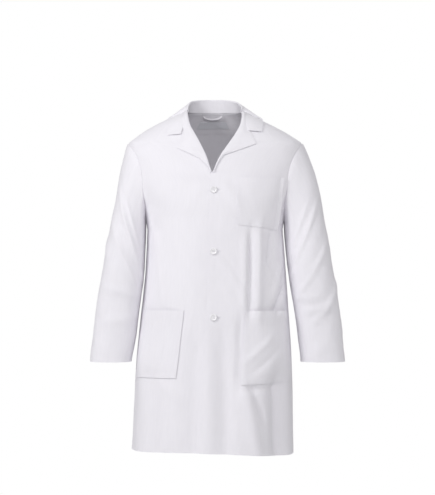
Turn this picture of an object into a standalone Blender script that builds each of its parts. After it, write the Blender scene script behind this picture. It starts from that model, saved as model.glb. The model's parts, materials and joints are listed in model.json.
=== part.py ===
"""Knee-length buttoned lab coat, standing open as if worn, built from separate sewn pieces.

+Z is up, the wearer faces -Y and the wearer's left side is +X. The origin is the middle of
the neck, level with the top of the shoulder seams. Run with: blender --background --python part.py
"""
import math

import bmesh
import bpy
from mathutils import Vector

# --- Driving dimensions, in metres ------------------------------------------------------------
CLOTH = 0.001                  # thickness of one layer of cloth
INTERFACING = 0.0005           # thickness of the stiffening inside the collar
LAYER = 2 * CLOTH              # spacing between the middles of two sewn layers
LAP_DROP = 2 * LAYER + 0.0002  # how far the buttoned-under front lies beneath the upper one
LAPEL_LIFT = LAYER + 0.0012    # how far the turned-over lapel lies above the chest
COLLAR_LAYER = (CLOTH + INTERFACING) / 2 + 0.00065  # spacing between the layers of the collar
SEAM_GAP = 0.0008              # half of the clear gap left along every seam

COAT_LENGTH = 0.955            # neck to hem at the centre front
HEM_RISE = 0.012               # how much higher the hem is at the side seams
NECK_Z = -0.005                # neck end of the shoulder seam
SHOULDER_TIP_Z = -0.095        # top of the armhole
UNDERARM_Z = -0.300            # bottom of the armhole
BREAK_Z = -0.178               # where the lapels start to roll

NECK_HALF_WIDTH = 0.078
SHOULDER_HALF_WIDTH = 0.245
CHEST_HALF_WIDTH = 0.183       # half width at the underarm
HEM_HALF_WIDTH = 0.228
FRONT_NECK_DEPTH = 0.045
BACK_NECK_DEPTH = 0.060
CHEST_HALF_DEPTH = 0.130
HEM_HALF_DEPTH = 0.150
SQUARENESS = 0.85              # 1 is an ellipse, less is squarer

ARMHOLE_HALF_DEPTH = 0.075
SLEEVE_START = 0.003           # clear gap from the armhole edge to the sleeve
CUFF_Z = -0.700
CUFF_INNER_X = 0.236
CUFF_OUTER_X = 0.355
CUFF_HALF_DEPTH = 0.046
SLEEVE_FULLNESS = 0.016        # outward curve of the outer arm line
SLEEVE_FORWARD = 0.020         # how far the cuff hangs in front of the shoulder
CUFF_HEM = 0.026               # height of the turned-up cuff hem

FRONT_OVERLAP = 0.040          # width of the buttoned overlap
FACING_WIDTH = 0.055
BODY_HEM = 0.028               # height of the turned-up body hem
CORNER_TOP_Z = {1: -0.600, -1: -0.690}  # top of the fold that lets the left, right corner swing
CORNER_HEM_X = 0.155           # where that fold meets the hem

BUTTON_RADIUS = 0.0095
BUTTON_THICKNESS = 0.003
BUTTON_X = 0.003
BUTTON_HEIGHTS = {"top": -0.227, "middle": -0.394, "bottom": -0.573}
BUTTON_HOLE_RADIUS = 0.0009
BUTTON_HOLE_SPREAD = 0.0017    # from the button's middle to each hole, along X and along Z
BUTTONHOLE_LENGTH = 0.022
BUTTONHOLE_HEIGHT = 0.0034
THREAD_RADIUS = 0.0012

CHEST_POCKET = {"top": -0.200, "bottom": -0.326, "inner": 0.073, "outer": 0.170}
LOWER_POCKETS = {
    "left_lower_pocket": {"side": 1, "top": -0.557, "bottom": -0.754,
                          "inner": math.radians(21), "outer": math.radians(80)},
    "right_lower_pocket": {"side": -1, "top": -0.556, "bottom": -0.740,
                           "inner": math.radians(20), "outer": math.radians(74)},
}
VENT_TOP_Z = -0.640
VENT_WIDTH = 0.040
NECK_FACING_HEIGHT = 0.055
LABEL_HALF_WIDTH = 0.024
LABEL_HEIGHT = 0.018
LOOP_RADIUS = 0.0014
LOOP_HALF_WIDTH = 0.026

# Mesh density.
SKIRT_ROWS = 9
ARMHOLE_ROWS = 7
SHOULDER_ROWS = 5
PANEL_COLUMNS = 10
SLEEVE_AROUND = 16
SLEEVE_ROWS = 11

# The edge of the upper front, (height, x): it drifts to the wearer's right towards the hem.
FRONT_EDGE = [(-COAT_LENGTH, -0.046), (-0.770, -0.032), (-0.573, -0.017), (-0.394, -0.013),
              (-0.213, -0.009), (BREAK_Z, -0.003)]
# The lapel's fold, from the break up to the neck, and its free edge with the pointed tip.
ROLL_LINE = [(BREAK_Z, 0.001), (-0.116, 0.029), (-0.070, 0.048), (0.000, 0.075)]
LAPEL_EDGE = [(BREAK_Z, 0.006), (-0.137, 0.034), (-0.106, 0.098), (-0.099, 0.110),
              (-0.060, 0.090), (-0.042, 0.068)]
LAPEL_ROWS = [-0.172, -0.155, -0.137, -0.121, -0.106, -0.099, -0.080, -0.060, -0.046]

# The collar from the centre back to its front end: the fold, then the free outer edge.
COLLAR_FOLD = [(0.000, 0.064, 0.034), (0.038, 0.055, 0.033), (0.066, 0.031, 0.027),
               (0.076, -0.005, 0.012), (0.072, -0.045, -0.010), (0.061, -0.075, -0.033)]
COLLAR_EDGE = [(0.000, 0.088, -0.040), (0.056, 0.087, -0.042), (0.102, 0.065, -0.030),
               (0.133, 0.022, -0.020), (0.138, -0.030, -0.027), (0.131, -0.079, -0.064)]
COLLAR_BULGE = 0.005
COLLAR_SAG = 0.004             # how far the collar's front edge bows down towards the notch

COAT = bpy.data.collections.new("lab_coat")
CUTTERS = bpy.data.collections.new("cutters")


# --- Small helpers ----------------------------------------------------------------------------
def clear_scene():
    for obj in list(bpy.data.objects):
        bpy.data.objects.remove(obj, do_unlink=True)
    bpy.context.scene.collection.children.link(COAT)
    bpy.context.scene.collection.children.link(CUTTERS)


def smooth(t):
    t = min(1.0, max(0.0, t))
    return t * t * (3.0 - 2.0 * t)


def along(points, at):
    """Read a value from a list of (position, value) pairs that rises in position."""
    if at <= points[0][0]:
        return points[0][1]
    for (a, value_a), (b, value_b) in zip(points, points[1:]):
        if at <= b:
            return value_a + (value_b - value_a) * (at - a) / (b - a)
    return points[-1][1]


def along_curve(points, t):
    """A point on the smooth Catmull-Rom curve through the points, t from 0 to 1."""
    spans = len(points) - 1
    i = min(int(t * spans), spans - 1)
    f = t * spans - i
    p1, p2 = Vector(points[i]), Vector(points[i + 1])
    p0 = Vector(points[i - 1]) if i > 0 else p1 * 2 - p2
    p3 = Vector(points[i + 2]) if i + 2 <= spans else p2 * 2 - p1
    return 0.5 * (2 * p1 + (p2 - p0) * f + (2 * p0 - 5 * p1 + 4 * p2 - p3) * f ** 2
                  + (3 * p1 - p0 - 3 * p2 + p3) * f ** 3)


def signed_power(value, exponent):
    return math.copysign(abs(value) ** exponent, value)


def material(name, colour, roughness=0.85):
    shade = bpy.data.materials.new(name)
    shade.use_nodes = True
    shader = shade.node_tree.nodes["Principled BSDF"]
    shader.inputs["Base Color"].default_value = (*colour, 1.0)
    shader.inputs["Roughness"].default_value = roughness
    shader.inputs["Metallic"].default_value = 0.0
    return shade


def add_object(name, mesh, colour=(0.87, 0.88, 0.90), roughness=0.85):
    obj = bpy.data.objects.new(name, mesh)
    COAT.objects.link(obj)
    mesh.materials.append(material(name + "_finish", colour, roughness))
    return obj


def sheet(name, place, columns, rows, thickness=CLOTH, colour=(0.87, 0.88, 0.90)):
    """One cloth piece: a grid whose points are put on a surface, then given its thickness."""
    grid = bmesh.new()
    bmesh.ops.create_grid(grid, x_segments=columns, y_segments=rows, size=1.0)
    for vert in grid.verts:
        vert.co = place((vert.co.x + 1) / 2, (vert.co.y + 1) / 2)
    mesh = bpy.data.meshes.new(name)
    grid.to_mesh(mesh)
    grid.free()
    mesh.shade_smooth()
    obj = add_object(name, mesh, colour)
    wall = obj.modifiers.new("thickness", "SOLIDIFY")
    wall.thickness = thickness
    wall.offset = 0.0
    return obj


# --- The body surface -------------------------------------------------------------------------
def half_width(z):
    if z <= UNDERARM_Z:
        f = (UNDERARM_Z - z) / (UNDERARM_Z + COAT_LENGTH)
        return CHEST_HALF_WIDTH + (HEM_HALF_WIDTH - CHEST_HALF_WIDTH) * (f + 0.06 * math.sin(math.pi * f))
    if z <= SHOULDER_TIP_Z:
        g = (z - UNDERARM_Z) / (SHOULDER_TIP_Z - UNDERARM_Z)
        return CHEST_HALF_WIDTH + (SHOULDER_HALF_WIDTH - CHEST_HALF_WIDTH) * (1 - (1 - g) ** 2.2)
    h = min(1.0, (z - SHOULDER_TIP_Z) / (NECK_Z - SHOULDER_TIP_Z))
    straight = SHOULDER_HALF_WIDTH + (NECK_HALF_WIDTH - SHOULDER_HALF_WIDTH) * h
    return straight + 0.015 * math.sin(math.pi * h)


def half_depth(z, back):
    if z <= UNDERARM_Z:
        f = (UNDERARM_Z - z) / (UNDERARM_Z + COAT_LENGTH)
        return CHEST_HALF_DEPTH + (HEM_HALF_DEPTH - CHEST_HALF_DEPTH) * f
    k = min(1.0, (z - UNDERARM_Z) / (NECK_Z - UNDERARM_Z))
    if back:
        return BACK_NECK_DEPTH + (CHEST_HALF_DEPTH - BACK_NECK_DEPTH) * (1 - k ** 3.0)
    return FRONT_NECK_DEPTH + (CHEST_HALF_DEPTH - FRONT_NECK_DEPTH) * (1 - k ** 2.4)


def skin(turn, z):
    """The coat's middle surface: turn is 0 at the centre front, 90 degrees at +X."""
    depth = half_depth(z, math.cos(turn) < 0)
    return Vector((half_width(z) * signed_power(math.sin(turn), SQUARENESS),
                   -depth * signed_power(math.cos(turn), SQUARENESS), z))


def body_point(turn, z, out=0.0):
    """A point of the body surface, moved out along the surface's normal."""
    step = 0.002
    point = skin(turn, z)
    if out == 0.0:
        return point
    across = skin(turn + step, z) - skin(turn - step, z)
    upward = skin(turn, z + step) - skin(turn, z - step)
    return point + across.cross(upward).normalized() * out


def turn_at(x, z):
    """The turn at which the front of the body surface reaches x."""
    share = max(-1.0, min(1.0, x / half_width(z)))
    return math.asin(signed_power(share, 1 / SQUARENESS))


def armhole_depth(z):
    middle = (SHOULDER_TIP_Z + UNDERARM_Z) / 2
    reach = (SHOULDER_TIP_Z - UNDERARM_Z) / 2
    share = min(1.0, abs(z - middle) / reach)
    return ARMHOLE_HALF_DEPTH * math.sqrt(1 - share ** 2)


def side_turn(z, back=False):
    """The turn of the side seam, the armhole edge or the shoulder seam at this height."""
    if UNDERARM_Z < z < SHOULDER_TIP_Z:
        share = (armhole_depth(z) / half_depth(z, back)) ** (1 / SQUARENESS)
        return math.acos(min(1.0, share))
    return math.pi / 2


def hem_z(turn):
    return -COAT_LENGTH + HEM_RISE * math.sin(turn) ** 2


def panel_rows(bottom, top_z):
    """Row heights from the hem up, with a row at the underarm and at the shoulder tip."""
    rows = [bottom + (UNDERARM_Z - bottom) * i / SKIRT_ROWS for i in range(SKIRT_ROWS)]
    for i in range(ARMHOLE_ROWS):
        even = i / ARMHOLE_ROWS
        round_end = (1 - math.cos(math.pi * even)) / 2
        rows.append(UNDERARM_Z + (SHOULDER_TIP_Z - UNDERARM_Z) * (even + round_end) / 2)
    rows += [SHOULDER_TIP_Z + (top_z - SHOULDER_TIP_Z) * i / SHOULDER_ROWS
             for i in range(SHOULDER_ROWS + 1)]
    return rows


def row_at(v, rows):
    return rows[round(v * (len(rows) - 1))]


# --- Fronts -----------------------------------------------------------------------------------
def front_edge(side, z):
    """The front's free edge, as a distance towards its own side; the right front lies under."""
    edge = along(FRONT_EDGE, z)
    if side > 0:
        return edge
    return -(edge + FRONT_OVERLAP) * smooth((BREAK_Z - z) / 0.035)


def corner_fold(side, z):
    """The slanting line about which a front corner swings open."""
    top = CORNER_TOP_Z[side]
    start = front_edge(side, top)
    share = (top - z) / (top + COAT_LENGTH)
    return start + (CORNER_HEM_X - start) * share


def front_drop(side, x, z):
    """The right front sinks behind the left one where they overlap."""
    if side > 0:
        return 0.0
    real_x = -x
    edge = along(FRONT_EDGE, z)
    return -LAP_DROP * smooth((real_x - edge + 0.065) / 0.045) * smooth((BREAK_Z + 0.02 - z) / 0.03)


def on_front(side, x, z, out=0.0):
    turn = turn_at(x, z)
    point = body_point(turn, z, out + front_drop(side, x, z))
    point.x *= side
    return point


def front_panel(side, name):
    def place(u, v):
        rows = panel_rows(-COAT_LENGTH, NECK_Z - 0.004)
        z = row_at(v, rows)
        if z > BREAK_Z:
            inner = along(ROLL_LINE, z)
        elif z > CORNER_TOP_Z[side]:
            inner = front_edge(side, z)
        else:
            inner = corner_fold(side, z) + SEAM_GAP
        inner_turn = turn_at(inner, z)
        turn = inner_turn + (side_turn(z) - 0.003 - inner_turn) * u
        if z < UNDERARM_Z:
            z += HEM_RISE * math.sin(turn) ** 2 * (UNDERARM_Z - z) / (UNDERARM_Z + COAT_LENGTH)
        x = half_width(z) * signed_power(math.sin(turn), SQUARENESS)
        point = body_point(turn, z, front_drop(side, x, z))
        point.x *= side
        return point

    return sheet(name, place, PANEL_COLUMNS, SKIRT_ROWS + ARMHOLE_ROWS + SHOULDER_ROWS)


def front_strip(side, name, left_of, right_of, low, high, out, columns, rows, colour=(0.87, 0.88, 0.90)):
    """A piece between two lines on a front, given as functions of the height."""
    def place(u, v):
        z = low + (high - low) * v
        x = left_of(z) + (right_of(z) - left_of(z)) * u
        return on_front(side, x, z, out)

    return sheet(name, place, columns, rows, colour=colour)


def front_pieces(side, word):
    front_panel(side, word + "_front")
    corner_top = CORNER_TOP_Z[side] - 0.022
    front_strip(side, word + "_front_corner", lambda z: front_edge(side, z),
                lambda z: corner_fold(side, z) - SEAM_GAP, -COAT_LENGTH + 0.0005, corner_top, 0.0, 7, 10)
    front_strip(side, word + "_facing", lambda z: front_edge(side, z) + 0.001,
                lambda z: front_edge(side, z) + FACING_WIDTH, CORNER_TOP_Z[side] + 0.002, BREAK_Z - 0.010,
                -LAYER, 4, 14, (0.84, 0.85, 0.87))
    front_strip(side, word + "_corner_facing", lambda z: front_edge(side, z) + 0.001,
                lambda z: min(front_edge(side, z) + FACING_WIDTH, corner_fold(side, z) - 0.004),
                -COAT_LENGTH + 0.003, CORNER_TOP_Z[side] - 0.050, -LAYER, 4, 8, (0.84, 0.85, 0.87))
    front_strip(side, word + "_corner_hem", lambda z: front_edge(side, z) + FACING_WIDTH + 0.002,
                lambda z: corner_fold(side, z) - 0.004, -COAT_LENGTH + 0.003, -COAT_LENGTH + BODY_HEM,
                -LAYER, 4, 2, (0.84, 0.85, 0.87))
    lapel(side, word + "_lapel")
    side_hem(side, word + "_hem")


def side_hem(side, name):
    def place(u, v):
        lift = 0.003 + (BODY_HEM - 0.003) * v
        start = turn_at(corner_fold(side, -COAT_LENGTH + lift) + 0.006, -COAT_LENGTH)
        turn = start + (math.radians(88) - start) * u
        point = body_point(turn, hem_z(turn) + lift, -LAYER)
        point.x *= side
        return point

    return sheet(name, place, 5, 2, colour=(0.84, 0.85, 0.87))


def lapel(side, name):
    def place(u, v):
        z = row_at(v, LAPEL_ROWS)
        inner = along(ROLL_LINE, z) + 0.0005
        x = inner + (along(LAPEL_EDGE, z) - inner) * u
        point = body_point(turn_at(x, z), z, LAPEL_LIFT)
        point.x *= side
        return point

    return sheet(name, place, 5, len(LAPEL_ROWS) - 1)


# --- Backs ------------------------------------------------------------------------------------
def back_panel(side, name):
    rows = panel_rows(-COAT_LENGTH, NECK_Z)
    centre = math.pi - 0.0025

    def place(u, v):
        z = row_at(v, rows)
        edge = math.pi - side_turn(z, back=True) + 0.003
        turn = centre + (edge - centre) * u
        if z < UNDERARM_Z:
            z += HEM_RISE * math.sin(turn) ** 2 * (UNDERARM_Z - z) / (UNDERARM_Z + COAT_LENGTH)
        point = body_point(turn, z)
        point.x *= side
        return point

    return sheet(name, place, PANEL_COLUMNS - 1, len(rows) - 1)


def back_strip(side, name, start, end, low, high, out, columns, rows):
    """A piece lining a back panel, from one turn to another, up from the hem."""
    def place(u, v):
        turn = start + (end - start) * u
        point = body_point(turn, hem_z(turn) + low + (high - low) * v, out)
        point.x *= side
        return point

    return sheet(name, place, columns, rows, colour=(0.84, 0.85, 0.87))


def back_pieces():
    for side, word in ((1, "left"), (-1, "right")):
        back_panel(side, "back_" + word)
    vent_turn = VENT_WIDTH / HEM_HALF_WIDTH
    back_strip(1, "back_left_hem", math.pi - vent_turn - 0.03, math.radians(92), 0.003, BODY_HEM, -LAYER, 5, 2)
    back_strip(-1, "back_right_hem", math.pi - 0.02, math.radians(92), 0.003, BODY_HEM, -LAYER, 6, 2)
    vent_height = VENT_TOP_Z + COAT_LENGTH
    back_strip(1, "vent_underlap", math.pi - vent_turn, math.pi + vent_turn * 0.9, 0.003, vent_height,
               -LAYER * 2.2, 5, 8)

    def neck_facing(u, v):
        turn = math.radians(118 + 124 * u)
        return body_point(turn, NECK_Z - 0.004 - NECK_FACING_HEIGHT * v, -LAYER)

    sheet("back_neck_facing", neck_facing, 10, 3, colour=(0.84, 0.85, 0.87))

    def label(u, v):
        depth = half_depth(NECK_Z - 0.02, True)
        turn = math.pi - (2 * u - 1) * LABEL_HALF_WIDTH / depth * 0.62
        return body_point(turn, NECK_Z - 0.022 - LABEL_HEIGHT * v, -LAYER * 2.1)

    sheet("neck_label", label, 4, 2, colour=(0.80, 0.82, 0.86))


def locker_loop():
    """A narrow tape loop across the inside of the back neck, for hanging the coat on a hook."""
    curve = bpy.data.curves.new("locker_loop", "CURVE")
    curve.dimensions = "3D"
    curve.bevel_depth = LOOP_RADIUS
    curve.bevel_resolution = 1
    curve.use_fill_caps = True
    spline = curve.splines.new("POLY")
    steps = 12
    spline.points.add(steps)
    for i, point in enumerate(spline.points):
        t = i / steps
        x = LOOP_HALF_WIDTH * math.cos(math.pi * t)
        droop = 0.016 * math.sin(math.pi * t)
        wall = body_point(math.pi - x / BACK_NECK_DEPTH * 0.75, NECK_Z - 0.006 - droop * 0.6, 0)
        point.co = (x, wall.y - 0.0105, NECK_Z - 0.006 - droop * 0.6, 1.0)
    obj = bpy.data.objects.new("locker_loop", curve)
    COAT.objects.link(obj)
    curve.materials.append(material("locker_loop_finish", (0.85, 0.86, 0.88)))


# --- Collar -----------------------------------------------------------------------------------
def collar_skin(u, v):
    """The collar's fall: u from the right front end round the back to the left, v down the fall."""
    side = 1 if u >= 0.5 else -1
    t = abs(2 * u - 1)
    fold = along_curve(COLLAR_FOLD, t)
    edge = along_curve(COLLAR_EDGE, t)
    point = fold.lerp(edge, v)
    point.z += COLLAR_BULGE * math.sin(math.pi * v) - COLLAR_SAG * math.sin(math.pi * v) * smooth(t * 5 - 4)
    point.y -= 0.003 * math.sin(math.pi * v) * smooth(t * 3 - 2)
    point.x *= side
    return point


def collar_layer(name, depth, colour=(0.87, 0.88, 0.90), thickness=CLOTH):
    """One layer of the collar, sunk beneath the top one."""
    def place(u, v):
        step = 0.004
        across = collar_skin(min(1.0, u + step), v) - collar_skin(max(0.0, u - step), v)
        down = collar_skin(u, min(1.0, v + step)) - collar_skin(u, max(0.0, v - step))
        inward = across.cross(down).normalized()
        if inward.z > 0:
            inward.negate()
        return collar_skin(u, v) + inward * depth

    return sheet(name, place, 16, 4, thickness, colour)


def collar_stand():
    def place(u, v):
        side = 1 if u >= 0.5 else -1
        t = abs(2 * u - 1) * 0.66
        top = along_curve(COLLAR_FOLD, t)
        turn = math.pi - t / 0.72 * math.pi / 2
        foot = body_point(turn, NECK_Z, 0)
        foot = Vector((abs(foot.x), foot.y, NECK_Z + 0.002))
        point = foot.lerp(top, v * 0.93)
        inward = Vector((-point.x, 0.01 - point.y, 0)).normalized()
        point += inward * (0.0015 + 0.003 * v)
        point.x *= side
        return point

    return sheet("collar_stand", place, 16, 3)


def collar_pieces():
    collar_layer("upper_collar", 0.0)
    collar_layer("collar_interfacing", COLLAR_LAYER, (0.80, 0.81, 0.83), INTERFACING)
    collar_layer("under_collar", 2 * COLLAR_LAYER, (0.84, 0.85, 0.87))
    collar_stand()


# --- Sleeves ----------------------------------------------------------------------------------
def armhole_point(around):
    """The armhole edge, at +X: around is 0 at the shoulder tip and 180 degrees underarm."""
    middle = (SHOULDER_TIP_Z + UNDERARM_Z) / 2
    reach = (SHOULDER_TIP_Z - UNDERARM_Z) / 2
    z = middle + reach * math.cos(around)
    back = math.sin(around) < 0
    turn = side_turn(z, back)
    if back:
        turn = math.pi - turn
    return skin(turn, z)


def sleeve_ring(w, around):
    """The arm's own section: w is 0 at the shoulder and 1 at the cuff."""
    shoulder = Vector((SHOULDER_HALF_WIDTH + 0.005, 0, SHOULDER_TIP_Z - 0.002))
    underarm = Vector((CHEST_HALF_WIDTH + 0.004, 0, UNDERARM_Z - 0.002))
    outer = shoulder.lerp(Vector((CUFF_OUTER_X, 0, CUFF_Z)), w)
    outer.x += SLEEVE_FULLNESS * math.sin(math.pi * w ** 0.6)
    inner = underarm.lerp(Vector((CUFF_INNER_X, 0, CUFF_Z)), w)
    depth = ARMHOLE_HALF_DEPTH + (CUFF_HALF_DEPTH - ARMHOLE_HALF_DEPTH) * w ** 1.2
    point = (outer + inner) / 2 + (outer - inner) / 2 * math.cos(around)
    point.y = -depth * math.sin(around) - SLEEVE_FORWARD * w * w
    return point


def sleeve_point(w, around, inset=0.0):
    ring = sleeve_ring(w, around)
    start = armhole_point(around)
    start.x += SLEEVE_START
    point = start.lerp(ring, smooth(w / 0.16))
    if inset:
        centre = (sleeve_ring(w, 0.0) + sleeve_ring(w, math.pi)) / 2
        inward = centre - point
        point += inward.normalized() * inset
    return point


def tube(name, side, place, around, rows):
    """A sleeve-like tube: an open cylinder wall put on a surface, then given its thickness."""
    shape = bmesh.new()
    bmesh.ops.create_grid(shape, x_segments=around, y_segments=rows, size=1.0)
    for vert in shape.verts:
        u, v = (vert.co.x + 1) / 2, (vert.co.y + 1) / 2
        vert.co = place(v, u * 2 * math.pi)
        vert.co.x *= side
    bmesh.ops.remove_doubles(shape, verts=shape.verts, dist=0.0001)
    mesh = bpy.data.meshes.new(name)
    shape.to_mesh(mesh)
    shape.free()
    mesh.shade_smooth()
    obj = add_object(name, mesh)
    wall = obj.modifiers.new("thickness", "SOLIDIFY")
    wall.thickness = CLOTH
    wall.offset = 0.0
    return obj


def sleeves():
    hem_share = CUFF_HEM / (SHOULDER_TIP_Z - CUFF_Z)
    for side, word in ((1, "left"), (-1, "right")):
        tube(word + "_sleeve", side, lambda v, a: sleeve_point(v ** 1.15, a), SLEEVE_AROUND, SLEEVE_ROWS)
        tube(word + "_cuff_hem", side,
             lambda v, a: sleeve_point(1 - hem_share + (hem_share - 0.004) * v, a, LAYER),
             SLEEVE_AROUND, 1)


# --- Pockets ----------------------------------------------------------------------------------
def pockets():
    chest = CHEST_POCKET
    front_strip(1, "chest_pocket", lambda z: chest["inner"], lambda z: chest["outer"],
                chest["bottom"], chest["top"], LAYER, 6, 6)
    for name, size in LOWER_POCKETS.items():
        def place(u, v, size=size):
            turn = size["inner"] + (size["outer"] - size["inner"]) * u
            z = size["bottom"] + (size["top"] - size["bottom"]) * v
            point = body_point(turn, z, LAYER)
            point.x *= size["side"]
            return point

        sheet(name, place, 8, 6)


# --- Buttons ----------------------------------------------------------------------------------
def cutter(name, build):
    mesh = bpy.data.meshes.new(name)
    shape = bmesh.new()
    build(shape)
    shape.to_mesh(mesh)
    shape.free()
    obj = bpy.data.objects.new(name, mesh)
    obj.hide_render = True
    obj.display_type = "WIRE"
    CUTTERS.objects.link(obj)
    return obj


def cut(obj, tool):
    boolean = obj.modifiers.new(tool.name, "BOOLEAN")
    boolean.operation = "DIFFERENCE"
    boolean.object = tool


def disc(shape, radius, thickness, sides, centre):
    """A closed disc whose axis is Y."""
    made = bmesh.ops.create_cone(shape, cap_ends=True, segments=sides, radius1=radius, radius2=radius,
                                 depth=thickness)
    for vert in made["verts"]:
        vert.co = Vector((vert.co.x, -vert.co.z, vert.co.y)) + Vector(centre)


def button(word, z):
    face = on_front(1, BUTTON_X, z).y
    back = face - CLOTH / 2 - 0.0012
    centre = (BUTTON_X, back - BUTTON_THICKNESS / 2, z)
    mesh = bpy.data.meshes.new("button_" + word)
    shape = bmesh.new()
    disc(shape, BUTTON_RADIUS, BUTTON_THICKNESS, 20, centre)
    shape.to_mesh(mesh)
    shape.free()
    mesh.shade_smooth()
    mesh.set_sharp_from_angle(angle=math.radians(40))
    made = add_object("button_" + word, mesh, (0.88, 0.89, 0.90), 0.35)
    rim = made.modifiers.new("rounded_rim", "BEVEL")
    rim.width = 0.0006
    rim.segments = 1
    rim.limit_method = "ANGLE"

    def holes(tool):
        for dx in (-BUTTON_HOLE_SPREAD, BUTTON_HOLE_SPREAD):
            for dz in (-BUTTON_HOLE_SPREAD, BUTTON_HOLE_SPREAD):
                disc(tool, BUTTON_HOLE_RADIUS, BUTTON_THICKNESS * 2, 6,
                     (centre[0] + dx, centre[1], centre[2] + dz))

    cut(made, cutter("button_holes_" + word, holes))

    under = on_front(-1, -BUTTON_X, z).y - CLOTH / 2 - 0.0003
    length = under - back - 0.0003
    thread = bpy.data.meshes.new("button_thread_" + word)
    shank = bmesh.new()
    disc(shank, THREAD_RADIUS, length, 8, (BUTTON_X, under - length / 2, z))
    shank.to_mesh(thread)
    shank.free()
    add_object("button_thread_" + word, thread, (0.90, 0.90, 0.90))

    def slit(tool):
        made_box = bmesh.ops.create_cube(tool, size=1.0)
        for vert in made_box["verts"]:
            vert.co = Vector((vert.co.x * BUTTONHOLE_LENGTH + BUTTON_X + BUTTONHOLE_LENGTH / 2 - 0.003,
                              vert.co.y * 0.012 + face, vert.co.z * BUTTONHOLE_HEIGHT + z))

    tool = cutter("buttonhole_" + word, slit)
    cut(bpy.data.objects["left_front"], tool)
    cut(bpy.data.objects["left_facing"], tool)


def main():
    clear_scene()
    front_pieces(1, "left")
    front_pieces(-1, "right")
    back_pieces()
    locker_loop()
    collar_pieces()
    sleeves()
    pockets()
    for word, z in BUTTON_HEIGHTS.items():
        button(word, z)


main()
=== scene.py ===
# %% [markdown]
# A buttoned lab coat, shown as if worn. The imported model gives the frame: where each piece sits
# and which body it moves with. This file gives the coat its cloth: folds, seams, stitches, rolled
# lapels, buttons and the finishes. The wearer faces -Y, +Z is up, and the wearer's left is +X.

import json
import math

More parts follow.
